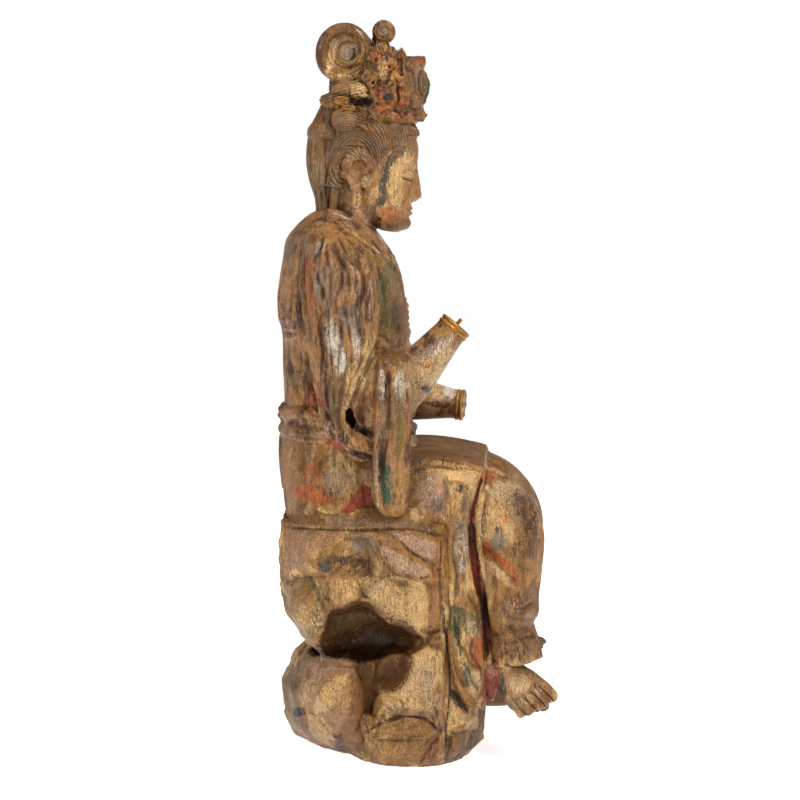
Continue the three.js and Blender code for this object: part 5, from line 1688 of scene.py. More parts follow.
# Folds of the near sleeve and the hanging end.
UPPER_ROBE_CUTS: tuple[Cut, ...] = (
    Cut(((324, 233), (320, 249), (316, 271), (319, 283), (325, 300), (327, 326), (330, 351), (333, 390), (336, 410)),
        2.2, 4.4, taper=0.06),
    Cut(((328, 235), (326, 255), (329, 268), (329, 283), (328, 297), (326, 306)), 1.8, 3.4),
    Cut(((330, 236), (334, 251), (341, 262), (348, 276), (350, 289), (348, 300)), 2.2, 5.0),
    Cut(((335, 233), (344, 246), (354, 260), (361, 272), (364, 284), (363, 299)), 2.2, 5.0),
    Cut(((341, 231), (350, 240), (361, 248), (370, 260), (375, 272), (375, 286), (377, 302), (375, 319)), 2.2, 4.6),
    Cut(((333, 236), (337, 252), (341, 268), (342, 284), (338, 296)), 1.6, 2.8),
    Cut(((338, 235), (347, 254), (356, 270), (357, 284), (355, 294)), 1.5, 2.6),
    Cut(((347, 229), (360, 240), (372, 250), (380, 257)), 1.8, 3.4),
    Cut(((322, 238), (315, 256), (311, 283), (313, 302), (318, 326), (321, 342), (320, 366), (319, 390), (324, 411)),
        2.0, 4.0, taper=0.06),
    Cut(((344, 304), (346, 319), (351, 342), (352, 362), (350, 376)), 1.8, 3.6),
    Cut(((334, 296), (337, 310), (341, 330), (343, 350)), 1.5, 1.8),
    Cut(((357, 300), (357, 318), (360, 336), (360, 352)), 1.6, 2.4),
    Cut(((366, 300), (366, 316), (369, 330)), 1.5, 2.4),
    Cut(((296, 240), (294, 255), (293, 270), (291, 294), (289, 320)), 1.8, 3.2, taper=0.08),
    Cut(((301, 245), (298, 266), (297, 283), (299, 302), (303, 329), (305, 339)), 2.0, 3.8, taper=0.08),
    Cut(((288, 262), (286, 286), (284, 306), (283, 326)), 1.6, 2.6),
    Cut(((308, 243), (305, 262), (304, 285), (307, 312), (310, 340)), 1.8, 2.8),
    Cut(((286, 336), (289, 358), (296, 388), (302, 403)), 2.0, 3.2),
    Cut(((281, 330), (288, 334), (297, 333)), 2.0, 3.6),
    Cut(((298, 345), (303, 370), (312, 388), (320, 398)), 2.2, 2.6),
    Cut(((305, 340), (305, 352), (309, 370), (313, 392), (325, 412), (338, 436)), 1.8, 3.4),
    Cut(((327, 360), (325, 385), (329, 410)), 1.5, 2.4),
    Cut(((375, 328), (373, 343), (366, 359), (357, 378), (350, 397), (346, 412)), 1.5, -3.4, 0.5),
    Cut(((378, 336), (377, 350), (369, 365), (361, 382), (354, 400)), 1.6, 3.6, 0.0),
    Cut(((347, 406), (349, 416), (356, 427), (366, 433), (376, 436)), 2.2, 5.5, 0.3),
    Cut(((333, 430), (342, 443), (356, 452), (374, 457)), 1.5, 3.2),
    Cut(((327, 425), (336, 440), (350, 455), (372, 463)), 1.4, 2.6),
    Cut(((387, 368), (388, 395), (388, 419), (384, 452), (378, 490)), 2.2, 4.2),
    Cut(((398, 372), (399, 410), (398, 450), (396, 500)), 2.4, 1.6),
    Cut(((381, 380), (380, 430), (379, 480)), 2.0, 1.2),
    Cut(((284, 424), (300, 420), (330, 424)), 1.8, 2.6),
    Cut(((284, 436), (305, 438), (335, 440)), 1.8, 2.0),
    Cut(((286, 446), (310, 447), (345, 452)), 2.0, 3.0),
    Cut(((305, 408), (318, 418), (332, 430)), 2.0, 2.0),
)

# The paint of the mantle, the sleeves and the arms, with painted shade in the sleeve's opening and painted highlights
# on the sleeve and its hanging end.
UPPER_ROBE_PAINTS: tuple[Paint, ...] = (
    Patch(300, 236, 26, 14, BROWN, 0.55, -25), Patch(298, 250, 18, 20, ASH, 0.45),
    Patch(345, 262, 34, 26, BROWN, 0.45, 0, 1.5), Patch(330, 300, 5, 40, ASH, 0.45, 0, 1.5),
    Patch(322, 330, 6, 60, BROWN, 0.5, 0, 1.5), Patch(311, 285, 6, 42, ORANGE, 0.55, -4),
    Patch(284, 290, 8, 40, TAN, 0.5), Patch(299, 290, 5, 26, ASH, 0.5), Patch(286, 322, 7, 10, UMBER, 0.55),
    # The white patches here and on the next line are worn grey-white paint and partly a painted highlight where the
    # sleeve shines.
    Patch(319, 285, 6, 22, ASH, 0.65), Patch(337, 350, 8, 26, WHITE, 0.8, -14),
    Patch(332, 335, 7, 16, WHITE, 0.6, -10), Patch(357, 342, 5, 20, WHITE, 0.6), Patch(350, 318, 14, 14, ASH, 0.6),
    Patch(341, 290, 8, 14, ROSE, 0.35), Patch(355, 285, 6, 16, ROSE, 0.45), Patch(356, 375, 10, 18, CREAM, 0.75, 20),
    Patch(348, 400, 5, 20, CREAM, 0.5, 20), Patch(372, 300, 5, 34, ROSE, 0.45), Patch(390, 300, 13, 48, MOSS, 0.85),
    Patch(396, 318, 8, 22, UMBER, 0.55), Patch(392, 290, 6, 14, OCHRE, 0.5), Patch(384, 288, 8, 20, GREEN, 0.35),
    Patch(386, 335, 14, 8, OCHRE, 0.55), Patch(403, 268, 9, 26, BROWN, 0.7), Patch(405, 310, 7, 34, BROWN, 0.75),
    Patch(401, 290, 4, 14, OCHRE, 0.5), Patch(292, 345, 9, 16, TAN, 0.7), Patch(300, 375, 12, 18, SLATE, 0.35, 20),
    Patch(312, 392, 8, 18, RED, 0.55), Patch(316, 402, 12, 6, RED, 0.6), Patch(335, 446, 12, 6, RED, 0.7, 10),
    Patch(320, 428, 20, 8, ROSE, 0.45), Patch(288, 416, 9, 12, TAN, 0.7), Patch(290, 432, 9, 9, TAN, 0.6),
    Patch(300, 433, 6, 5, UMBER, 0.6), Patch(316, 350, 6, 50, OCHRE, 0.5), Patch(324, 350, 4, 50, UMBER, 0.6, -3),
    Patch(334, 392, 7, 24, MOSS, 0.5), Patch(362, 372, 8, 24, CREAM, 0.75, 25),
    Patch(368, 350, 6, 20, CREAM, 0.7, 20), Patch(366, 402, 12, 12, BROWN, 0.6),
    # Painted shade: the umber patch in the sleeve's opening and the soot patches in the folds round it.
    Patch(350, 416, 4, 9, UMBER, 0.8, -15, 0.6), Patch(364, 430, 14, 5, SOOT, 0.65, 12),
    Patch(360, 442, 18, 6, OCHRE, 0.8, 18), Patch(343, 438, 8, 6, SOOT, 0.7, 40),
    # The white patches at 382, 384 and 400, 384 are worn paint and partly a painted highlight at the top of the
    # hanging end.
    Patch(362, 455, 14, 4, SOOT, 0.8, 14), Patch(392, 356, 16, 10, BROWN, 0.8), Patch(382, 384, 4, 18, WHITE, 0.6),
    Patch(400, 384, 7, 14, WHITE, 0.8), Patch(382, 420, 4, 24, ASH, 0.5), Patch(397, 425, 9, 30, MOSS, 0.5),
    Patch(396, 440, 8, 30, ORANGE, 0.25), Patch(387, 485, 7, 26, GREEN, 0.7), Patch(400, 488, 8, 26, OCHRE, 0.65),
    Patch(377, 480, 3, 30, WHITE, 0.4), Patch(408, 420, 3, 34, RED, 0.4), Patch(377, 400, 2.5, 50, ORANGE, 0.4),
    Patch(430, 372, 36, 22, BONE, 0.75, -48), Patch(432, 350, 26, 5, ASH, 0.7, -44),
    Patch(420, 366, 16, 10, CREAM, 0.5, -40), Patch(427, 366, 5, 3, ORANGE, 0.7),
    Patch(442, 346, 22, 5, WHITE, 0.45, -46), Patch(424, 396, 14, 12, TAN, 0.6),
    Patch(440, 402, 22, 14, BONE, 0.6, 10), Patch(436, 392, 20, 5, SOOT, 0.7, 18),
    Patch(446, 404, 8, 5, WHITE, 0.7, 20), Patch(436, 416, 20, 4, UMBER, 0.7, 4),
    Stroke(((338, 222), (352, 232), (376, 250), (395, 262)), 2.2, CREAM, 0.55),
    Stroke(((390, 255), (398, 275), (404, 300), (410, 330)), 2.0, UMBER, 0.6),
)


@dataclass
class UpperRobe(CarvedPiece):
    """The upper body: mantle, sleeves, sash, arms and the ornaments of the breast."""

    name: str = "upper_robe"
    grain: float = 1.7
    limit: int = 196_000
    rubbing: int = 3
    coats: Coats = (TAN, OCHRE, UMBER)
    seed: int = 3
    deep: float = 1.25
    wrist_radius: float = 23.0
    right_elbow: Row = (-124, 40, 534)
    right_wrist: Row = (-108, -61, 651)
    left_elbow: Row = (124, 60, 524)
    left_wrist: Row = (108, -67, 511)
    cuts: tuple[Cut, ...] = UPPER_ROBE_CUTS
    paints: tuple[Paint, ...] = UPPER_ROBE_PAINTS

    def forearm(self, elbow: Row, wrist: Row) -> Form:
        """From inside the sleeve to a flat sawn wrist."""
        a, b = np.array(elbow, float), np.array(wrist, float)
        radius = self.wrist_radius
        return skin([
            (*a, 37, 37), (*(a + 0.4 * (b - a)), 33, 34), (*(a + 0.8 * (b - a)), radius + 2, radius + 2),
            (*b, radius, radius),
        ], level=False)

    def hanging_end(self, top: float, back: float) -> Form:
        """The sleeve's end, which crosses the forearm and falls beside the thigh."""

        def groove(angle: Array, t: Array) -> Array:
            """One deep groove down the outside, and a thin lip at each edge."""
            return -smooth(t, 0.1, 0.3) * 8 * bell(angle, 2.69, 0.2)

        return skin([
            (-124, 26 + back, top, 20, 15), (-142, 28 + back, top - 16, 22, 24, 2.4),
            (-156, 29 + back, top - 62, 16, 26, 2.6), (-162, 31 + back, 480, 13, 27, 2.8),
            (-160, 32 + back, 420, 12, 27, 2.8), (-157, 32 + back, 388, 11, 24, 2.4), (-154, 30 + back, 374, 6, 13),
        ], fold=groove, rings=110)

    def forms(self) -> list[Form]:
        """Everything from the waist to the collar."""

        def mantle(angle: Array, t: Array) -> Array:
            """The mantle on the back, which ends in a raised hem under the shoulder blades."""
            back = smooth(np.sin(angle), -0.1, 0.3)
            pleat = pleats(12, 3.0, 0.6)(angle + 0.25 * np.sin(3 * t), t)
            return smooth(t, 0.36, 0.4) * back * (3 + pleat * (1 - t))

        torso = skin([
            (0, 106, 500, 106, 97, 2.2), (0, 108, 540, 103, 95, 2.2), (0, 109, 585, 104, 96, 2.2),
            (0, 109, 628, 110, 96, 2.3), (0, 111, 642, 112, 96, 2.3), (0, 114, 680, 118, 95, 2.3),
            (0, 117, 712, 119, 89, 2.2), (0, 121, 742, 112, 80, 2.1), (0, 125, 773, 90, 71), (0, 125, 795, 65, 54),
            (0, 121, 811, 48, 38), (0, 117, 820, 30, 22),
        ], fold=mantle, sides=200, rings=120)

        def fan(angle: Array, t: Array) -> Array:
            """Shallow folds that fan out from the shoulder."""
            return smooth(t, 0.05, 0.3) * (1 - 0.5 * smooth(t, 0.6, 1)) * pleats(11, 2.0, 0.4)(angle, t)

        sleeve = skin([
            (-58, 126, 800, 22, 24), (-84, 120, 777, 39, 43), (-108, 109, 742, 47, 51), (-119, 104, 690, 46, 52),
            (-125, 106, 632, 43, 52), (-130, 104, 577, 40, 43), (-135, 106, 530, 36, 33), (-138, 98, 492, 31, 30),
            (-138, 80, 466, 25, 28), (-136, 70, 452, 12, 16),
        ], fold=fan, sides=160, rings=120)
        inner = skin([
            (-114, 60, 632, 10, 14), (-124, 60, 600, 30, 33), (-130, 62, 530, 30, 34), (-132, 56, 470, 22, 24),
        ], fold=pleats(6, 2.5))
        band = skin([
            (0, 107, 470, 112, 90), (0, 107, 479, 124, 104), (0, 107, 493, 123, 103), (0, 107, 501, 116, 96),
            (0, 107, 509, 122, 102), (0, 107, 522, 120, 101), (0, 107, 530, 104, 90),
        ], sides=160)
        bow = roll([(8, 200, 508), (40, 196, 516), (56, 184, 498), (30, 190, 492)], [9, 12, 9, 7])
        tail = skin([(20, 198, 396, 19, 7), (16, 204, 450, 16, 6), (10, 200, 500, 12, 8)], fold=pleats(5, 1.6))
        collar = roll(
            [(-54, 128, 808), (-46, 92, 794), (-36, 62, 764), (-26, 44, 738), (-18, 32, 706), (-16, 24, 650)],
            [11, 11, 10, 9, 8, 6],
        )
        lapel = roll(
            [(-74, 100, 784), (-80, 66, 752), (-80, 48, 710), (-82, 44, 660), (-86, 48, 610)],
            [10, 11, 11, 11, 10],
        )
        arms = [self.forearm(self.right_elbow, self.right_wrist), self.forearm(self.left_elbow, self.left_wrist)]
        ends = [self.hanging_end(616, 0), self.hanging_end(560, 16).mirrored()]
        knot = ball((0, 198, 506), (24, 15, 17))
        return [torso, *pair(sleeve, inner, *bow, tail, *collar, *lapel), band, knot, *arms, *ends]

    def hollows(self) -> list[Form]:
        """The dark opening behind the mantle's edge."""
        return [ball((-160, 92, 518), (17, 7.5, 17), pitch=-14)]

    def relief(self, spots: Spots) -> Array:
        """The edge of the mantle's front, chest folds and a hem on the back."""
        x, y, z = spots.points.T
        front = smooth(-spots.normals[:, 1], 0.2, 0.7)
        chest = smooth(np.abs(x), 78, 60) * smooth(z, 540, 570) * smooth(z, 770, 740)
        drape = 1.6 * np.cos((z + 0.006 * x**2) / 3.6) * smooth(z, 700, 640)
        waist = 1.6 * np.cos(z / 2.6 + 0.04 * np.abs(x)) * smooth(np.abs(z - 500), 30, 22)
        long = np.cos(TURN * (spots.pixels[:, 0] + 0.12 * (spots.pixels[:, 1] - 330)
                              + 9 * (spots.cloud(40, 52, (1, 1, 3)) - 0.5)) / 7.5)
        sleeve = 1.1 * long * spots.sideways * smooth(z, 520, 560) * smooth(z, 760, 720) * smooth(y, 40, 60)
        return front * chest * drape + waist * smooth(spots.sideways, 0.9, 0.2) + sleeve


# The paint of the cheek, the neck and the ear.
HEAD_PAINTS: tuple[Paint, ...] = (
    Patch(386, 178, 5, 18, SLATE, 0.95, 22), Patch(391, 160, 5, 12, SLATE, 0.9, 28),
    Patch(380, 198, 7, 9, SLATE, 0.9, 10), Patch(403, 150, 7, 6, SLATE, 0.7), Patch(408, 165, 9, 14, CREAM, 0.75),
    Patch(396, 185, 8, 26, CREAM, 0.85), Patch(406, 190, 6, 22, ORANGE, 0.3), Patch(374, 195, 5, 12, CREAM, 0.7, 20),
    Patch(398, 224, 14, 8, BROWN, 0.8), Patch(390, 214, 12, 8, ORANGE, 0.5), Patch(376, 222, 7, 7, SOOT, 0.7, 30),
    Patch(372, 210, 5, 8, SLATE, 0.6), Patch(360, 215, 14, 12, ROSE, 0.6), Patch(350, 214, 8, 14, ROSE, 0.55),
    Patch(374, 236, 12, 5, OCHRE, 0.6, 25), Patch(378, 232, 8, 3, SOOT, 0.6, 25), Patch(358, 200, 5, 8, CREAM, 0.6),
    Patch(366, 182, 8, 8, BONE, 0.5), Patch(352, 185, 6, 14, ROSE, 0.4),
)


@dataclass
class Head(CarvedPiece):
    """Neck, face, ears and hair. The face is a calm one of general proportions."""

    name: str = "head"
    grain: float = 1.05
    limit: int = 188_000
    rubbing: int = 2
    coats: Coats = (TAN, CREAM, OCHRE)
    seed: int = 8
    hollow: float = 0.6
    deep: float = 0.5
    centre: Row = (0, 73, 870)
    nod: float = 7.0
    thickness: float = 6.5
    strand: float = 4.4
    hairline: Line = ((-72, 62), (-55, 57), (-38, 46), (-24, 33), (-14, 23), (-8, 8), (-3, -8), (1, -22))
    paints: tuple[Paint, ...] = HEAD_PAINTS

    def placed(self, forms: Sequence[Form]) -> list[Form]:
        """Forms laid out about the upright head, nodded into place."""
        return [form.changed(pitched(self.nod), self.centre) for form in forms]

    def local(self, points: Array) -> Array:
        """Places as they lie about the upright head."""
        return (points - np.array(self.centre)) @ pitched(self.nod)

    def helix(self) -> Form:
        """The ear's outer rim, which starts above the ear hole and ends in the lobe."""
        return skin([
            (-56, 6, 4, 2.6, 3.4), (-60, -1, 10, 3.2, 3.6), (-61, 3, 21, 3.4, 3.8), (-61, 13, 27, 3.6, 4.0),
            (-61, 23, 22, 3.6, 4.0), (-60, 28, 9, 3.4, 4.0), (-59, 27, -6, 3.2, 3.8), (-57, 21, -20, 3.0, 3.6),
            (-55, 16, -29, 3.0, 3.6),
        ], level=False, sides=20, rings=90)

    def forms(self) -> list[Form]:
        """The skull, the ears, the neck and the hair behind."""
        skull = skin([
            (0, -40, -82, 12, 11), (0, -34, -74, 29, 31), (0, -16, -52, 42, 51, 2.1), (0, -4, -20, 50, 63, 2.1),
            (0, 1, 15, 53, 69), (0, 4, 50, 52, 70), (0, 8, 76, 43, 58), (0, 12, 92, 20, 30),
        ], sides=160, rings=120)
        shell = ball((-51, 13, 0), (8, 16, 27), pitch=8)
        helix = self.helix()
        front = ball((-58, 3, -12), (5.5, 6, 10), pitch=-14)
        anti = ball((-57, 14, -6), (5.5, 4.5, 13), pitch=16)
        lobe = ball((-55, 12, -37), (6.5, 8.0, 19))
        neck = skin([
            (0, 112, 770, 46, 46), (0, 100, 797, 38, 38), (0, 97, 812, 39.5, 39.5), (0, 94, 822, 36.5, 36.5),
            (0, 92, 850, 38, 38),
        ])
        fall = skin([
            (0, 136, 800, 26, 17), (0, 138, 832, 26, 17), (0, 141, 862, 33, 23), (0, 144, 900, 34, 24),
            (0, 139, 935, 36, 24), (0, 130, 955, 32, 24), (0, 122, 985, 26, 18),
        ], fold=pleats(12, 1.2))
        band = skin([
            (0, 137, 920, 37, 25), (0, 137, 926, 42, 30), (0, 137, 938, 42, 29), (0, 137, 945, 36, 24),
        ], fold=pleats(9, 1.2))
        lock = roll([(-40, 112, 896), (-43, 120, 862), (-42, 124, 830), (-44, 128, 806)], [7, 7, 6, 5])
        brim = skin([(0, 4, 57, 49, 63), (0, 5, 66, 50, 65), (0, 7, 76, 47, 60), (0, 9, 87, 40, 50)], sides=120)
        upright = [skull, brim, *pair(shell, helix, front, anti, lobe)]
        return [*self.placed(upright), neck, fall, band, *pair(*lock)]

    def hair_share(self, spots: Spots) -> tuple[Array, Array]:
        """Where hair covers the skull.

        Args:
            spots: The places.

        Returns:
            A share from 0 on the face to 1 in the hair, and the distance from the hairline, above 0 in the hair.
        """
        x, y, z = self.local(spots.points).T
        line = np.array(self.hairline)
        distance, _ = line_reach(np.stack([y, z], axis=1), line)
        above = z > np.interp(y, line[:, 0], line[:, 1], right=-26)
        inside = np.where(above, distance, -distance)
        on_skull = smooth(spots.points[:, 1] - 0.35 * (870 - spots.points[:, 2]), 150, 132)
        ear = smooth(np.hypot((y - 13) / 17, (z + 4) / 27), 0.92, 1.04)
        apart = np.where(np.abs(x) > 40, ear, 1)
        return smooth(inside, -0.8, 1.6) * on_skull * smooth(z, -36, -26) * apart, inside

    def relief(self, spots: Spots) -> Array:
        """Strands of hair, the features of the face and the hollows of the ear."""
        x, y, z = self.local(spots.points).T
        hair, inside = self.hair_share(spots)
        side = np.abs(x)
        combed = np.hypot(1.3 * (y - 24), z - 2) + 0.75 * np.maximum(50 - side, 0)
        wavy = combed + 1.8 * np.sin(combed / 8 + z / 9) + 9.0 * (spots.cloud(13, 71) - 0.5)
        depth = 0.75 + 1.6 * spots.cloud(7, 72)
        strands = depth * np.cos(TURN * wavy / self.strand) * smooth(inside, 3.5, 6)
        curls = 1.5 * np.cos(TURN * (y - 0.9 * z) / 6.4) * bell(inside, 2.6, 2.6) * smooth(side, 8, 20)
        edge = 2.0 * bell(inside, 2.8, 2.6) * smooth(side, 8, 20)
        rounded = self.thickness * smooth(inside, -3.0, 8.0)
        raised = hair * (rounded + strands + curls + edge)

        front = smooth(-y, 22, 40) * (1 - hair)
        brow = 21 + 5.0 * (1 - ((side - 21) / 17) ** 2)
        lid = np.clip(1 - ((side - 22) / 14.5) ** 2 - ((z - 4.5) / 7.5) ** 2, 0, 1)
        lash = 0.4 - 3.0 * (1 - ((side - 22) / 15) ** 2)
        eye_span = smooth(np.abs(side - 22), 15.5, 13)
        nose_reach = np.interp(z, [-36, -32, -26, -20, 4, 16, 24], [0, 6.5, 13.5, 13.8, 6.5, 2.4, 0.8])
        nose_width = np.interp(z, [-34, -24, -10, 10, 24], [8.0, 7.6, 5.4, 4.4, 6.5])
        parts = [
            -3.4 * bell(side, 19, 13) * bell(z, 9, 8.5),
            2.0 * bell(z, brow, 2.6) * smooth(side, 3, 9) * smooth(side, 44, 34),
            4.6 * np.sqrt(lid),
            -1.5 * bell(z, lash, 0.9) * eye_span,
            -0.7 * bell(z - 9.5 + 0.012 * (side - 22) ** 2, 0, 0.9) * eye_span,
            nose_reach * bell(side, 0, nose_width),
            4.6 * bell(side, 9.4, 3.9) * bell(z, -27, 4.6),
            -1.6 * bell(side, 14.5, 2.2) * bell(z, -27, 5),
            -0.9 * bell(side, 0, 2.0) * bell(z, -39, 3.2),
            3.2 * bell(side, 0, 12) * bell(z, -43.6, 3.0),
            3.4 * bell(side, 0, 10) * bell(z, -51, 3.2),
            -2.0 * bell(z + 47.3 - 0.008 * side**2, 0, 0.9) * smooth(side, 16, 12),
            -1.8 * bell(side, 0, 11) * bell(z, -57.5, 2.8),
            3.6 * bell(side, 0, 14) * bell(z, -67, 7.5),
            2.4 * bell(side, 31, 13) * bell(z, -24, 16),
        ]
        face = front * sum(parts)

        ear = smooth(side, 55, 59)
        concha = -3.4 * ear * bell(y, 11, 4.5) * bell(z, 3, 8.0)
        slit = -2.4 * smooth(side, 56, 59) * bell(y, 11.5, 1.5) * smooth(np.abs(z + 39), 13, 10)
        back = spots.points
        loop = smooth(back[:, 1], 122, 140) * smooth(np.abs(back[:, 0]), 44, 40)
        around = np.arctan2(back[:, 1] - 141, np.abs(back[:, 0]) + 1e-6)
        comb = 0.8 * loop * np.cos(26 * around + 1.2 * np.sin(back[:, 2] / 11)) * smooth(back[:, 2], 800, 812)
        wound = smooth(back[:, 2], 948, 944) * smooth(back[:, 2], 914, 918)
        return raised + face + concha + slit + comb * (1 - wound)

    def tint(self, spots: Spots, colour: Array) -> Array:
        """Brown hair with warm ridges, a dark line in the eyes and reddened lips."""
        x, y, z = self.local(spots.points).T
        side = np.abs(x)
        hair, _ = self.hair_share(spots)
        behind = smooth(spots.points[:, 1], 112, 122) * smooth(spots.points[:, 2], 796, 806)
        streak = smooth(spots.cloud(9, 77, (1, 1, 1.6)), 0.45, 0.65)[:, None]
        warm = BROWN.linear * 1.15
        brown = warm + 0.7 * streak * (ASH.linear * 0.95 - warm)
        cover = (0.92 * np.maximum(hair, behind))[:, None]
        colour = colour + cover * (brown - colour)
        moss = (0.4 * behind * smooth(spots.cloud(6, 90), 0.45, 0.6))[:, None]
        colour = colour + moss * (MOSS.linear - colour)
        front = smooth(-y, 22, 40) * (1 - hair)
        lash = 0.4 - 3.0 * (1 - ((side - 22) / 15) ** 2)
        marks = (
            (0.75 * bell(z, lash, 1.1) * smooth(np.abs(side - 22), 15, 12), SOOT),
            (0.30 * bell(side, 0, 12) * bell(z, -47.5, 5.5), RED),
            (0.75 * bell(z + 47.3 - 0.008 * side**2, 0, 1.0) * smooth(side, 15, 11), UMBER),
        )
        for weight, pigment in marks:
            colour = colour + (front * weight)[:, None] * (pigment.linear - colour)
        return colour


# The gilt clasps of the bun.
CLASPS: tuple[Patch, ...] = (Patch(343, 101, 9, 5, GOLD, 0.8), Patch(347, 110, 8, 4, GOLD, 0.8))

# The deep gap under the rolls and the folds of the front leaf.
CROWN_CUTS: tuple[Cut, ...] = (
    Cut(((357, 100), (366, 103), (374, 100)), 2.6, 5.0),
    Cut(((410, 66), (412, 80), (417, 97)), 4.2, 5.0, 0.2),
    Cut(((421, 68), (419, 84), (422, 98)), 0.9, 2.4),
    Cut(((372, 108), (378, 104), (386, 108), (392, 114)), 1.2, 2.6),
    Cut(((380, 116), (386, 110), (398, 112), (402, 119)), 1.2, 2.6),
    Cut(((402, 118), (408, 112), (416, 117)), 1.2, 2.6),
    Cut(((376, 84), (386, 88), (394, 84)), 1.2, 3.0),
    Cut(((392, 74), (398, 84), (396, 96)), 1.2, 3.4),
)

# The paint of the crown and its jewels, with painted shade in the deep gap under the rolls.
CROWN_PAINTS: tuple[Paint, ...] = (
    Patch(349, 54, 33, 34, BROWN, 0.75, 0, 0.3), Patch(349, 55, 23, 24, OCHRE, 0.7, 0, 0.3),
    Patch(331, 58, 5, 20, CREAM, 0.75, 12), Patch(344, 78, 16, 5, CREAM, 0.5, 8), Patch(350, 47, 18, 8, ASH, 0.45),
    Patch(349, 56, 8, 8, ASH, 0.75, 0, 0.3), Patch(322, 38, 8, 10, UMBER, 0.5, 40),
    Patch(384, 31, 11, 11, BROWN, 0.6), Patch(384, 31, 4, 4, ASH, 0.6), Patch(377, 55, 7, 9, ORANGE, 0.5, 0, 1.5),
    Patch(393, 68, 9, 7, ORANGE, 0.5, 0, 1.5), Patch(383, 69, 6, 10, CREAM, 0.55), Patch(347, 85, 12, 5, TAN, 0.6),
    # The soot patch at 364, 102 is painted shade in the deep gap under the rolls.
    Patch(360, 91, 10, 9, CREAM, 0.7), Patch(364, 102, 9, 6, SOOT, 0.85), Patch(343, 101, 9, 5, GOLD, 0.9, 0, 0.4),
    Patch(347, 110, 8, 4, GOLD, 0.85, 0, 0.4), Patch(346, 124, 17, 14, ASH, 0.5), Patch(346, 128, 16, 10, BROWN, 0.5),
    Patch(381, 88, 9, 9, RED, 0.45, 0, 1.6), Patch(386, 106, 12, 10, ORANGE, 0.5, 0, 1.6),
    Patch(388, 97, 5, 4, BLUE, 0.9, 0, 0.4), Patch(398, 109, 6, 5, SOOT, 0.8), Patch(401, 105, 5, 4, RED, 0.6),
    Patch(406, 99, 4, 4, RED, 0.75, 0, 0.4), Patch(400, 88, 8, 20, RED, 0.4, 0, 1.6),
    Patch(414, 80, 10, 19, BROWN, 0.8), Patch(416, 78, 5, 14, ASH, 0.5), Patch(414, 60, 13, 5, UMBER, 0.5),
    Patch(425, 86, 5, 10, GREEN, 0.5, 0, 1.6), Patch(419, 60, 6, 6, ORANGE, 0.5), Patch(419, 108, 8, 8, BROWN, 0.6),
    Patch(396, 121, 26, 6, OCHRE, 0.6, 8), Patch(404, 118, 20, 6, ORANGE, 0.45, 8, 1.6),
    Patch(412, 126, 12, 6, RED, 0.35),
)


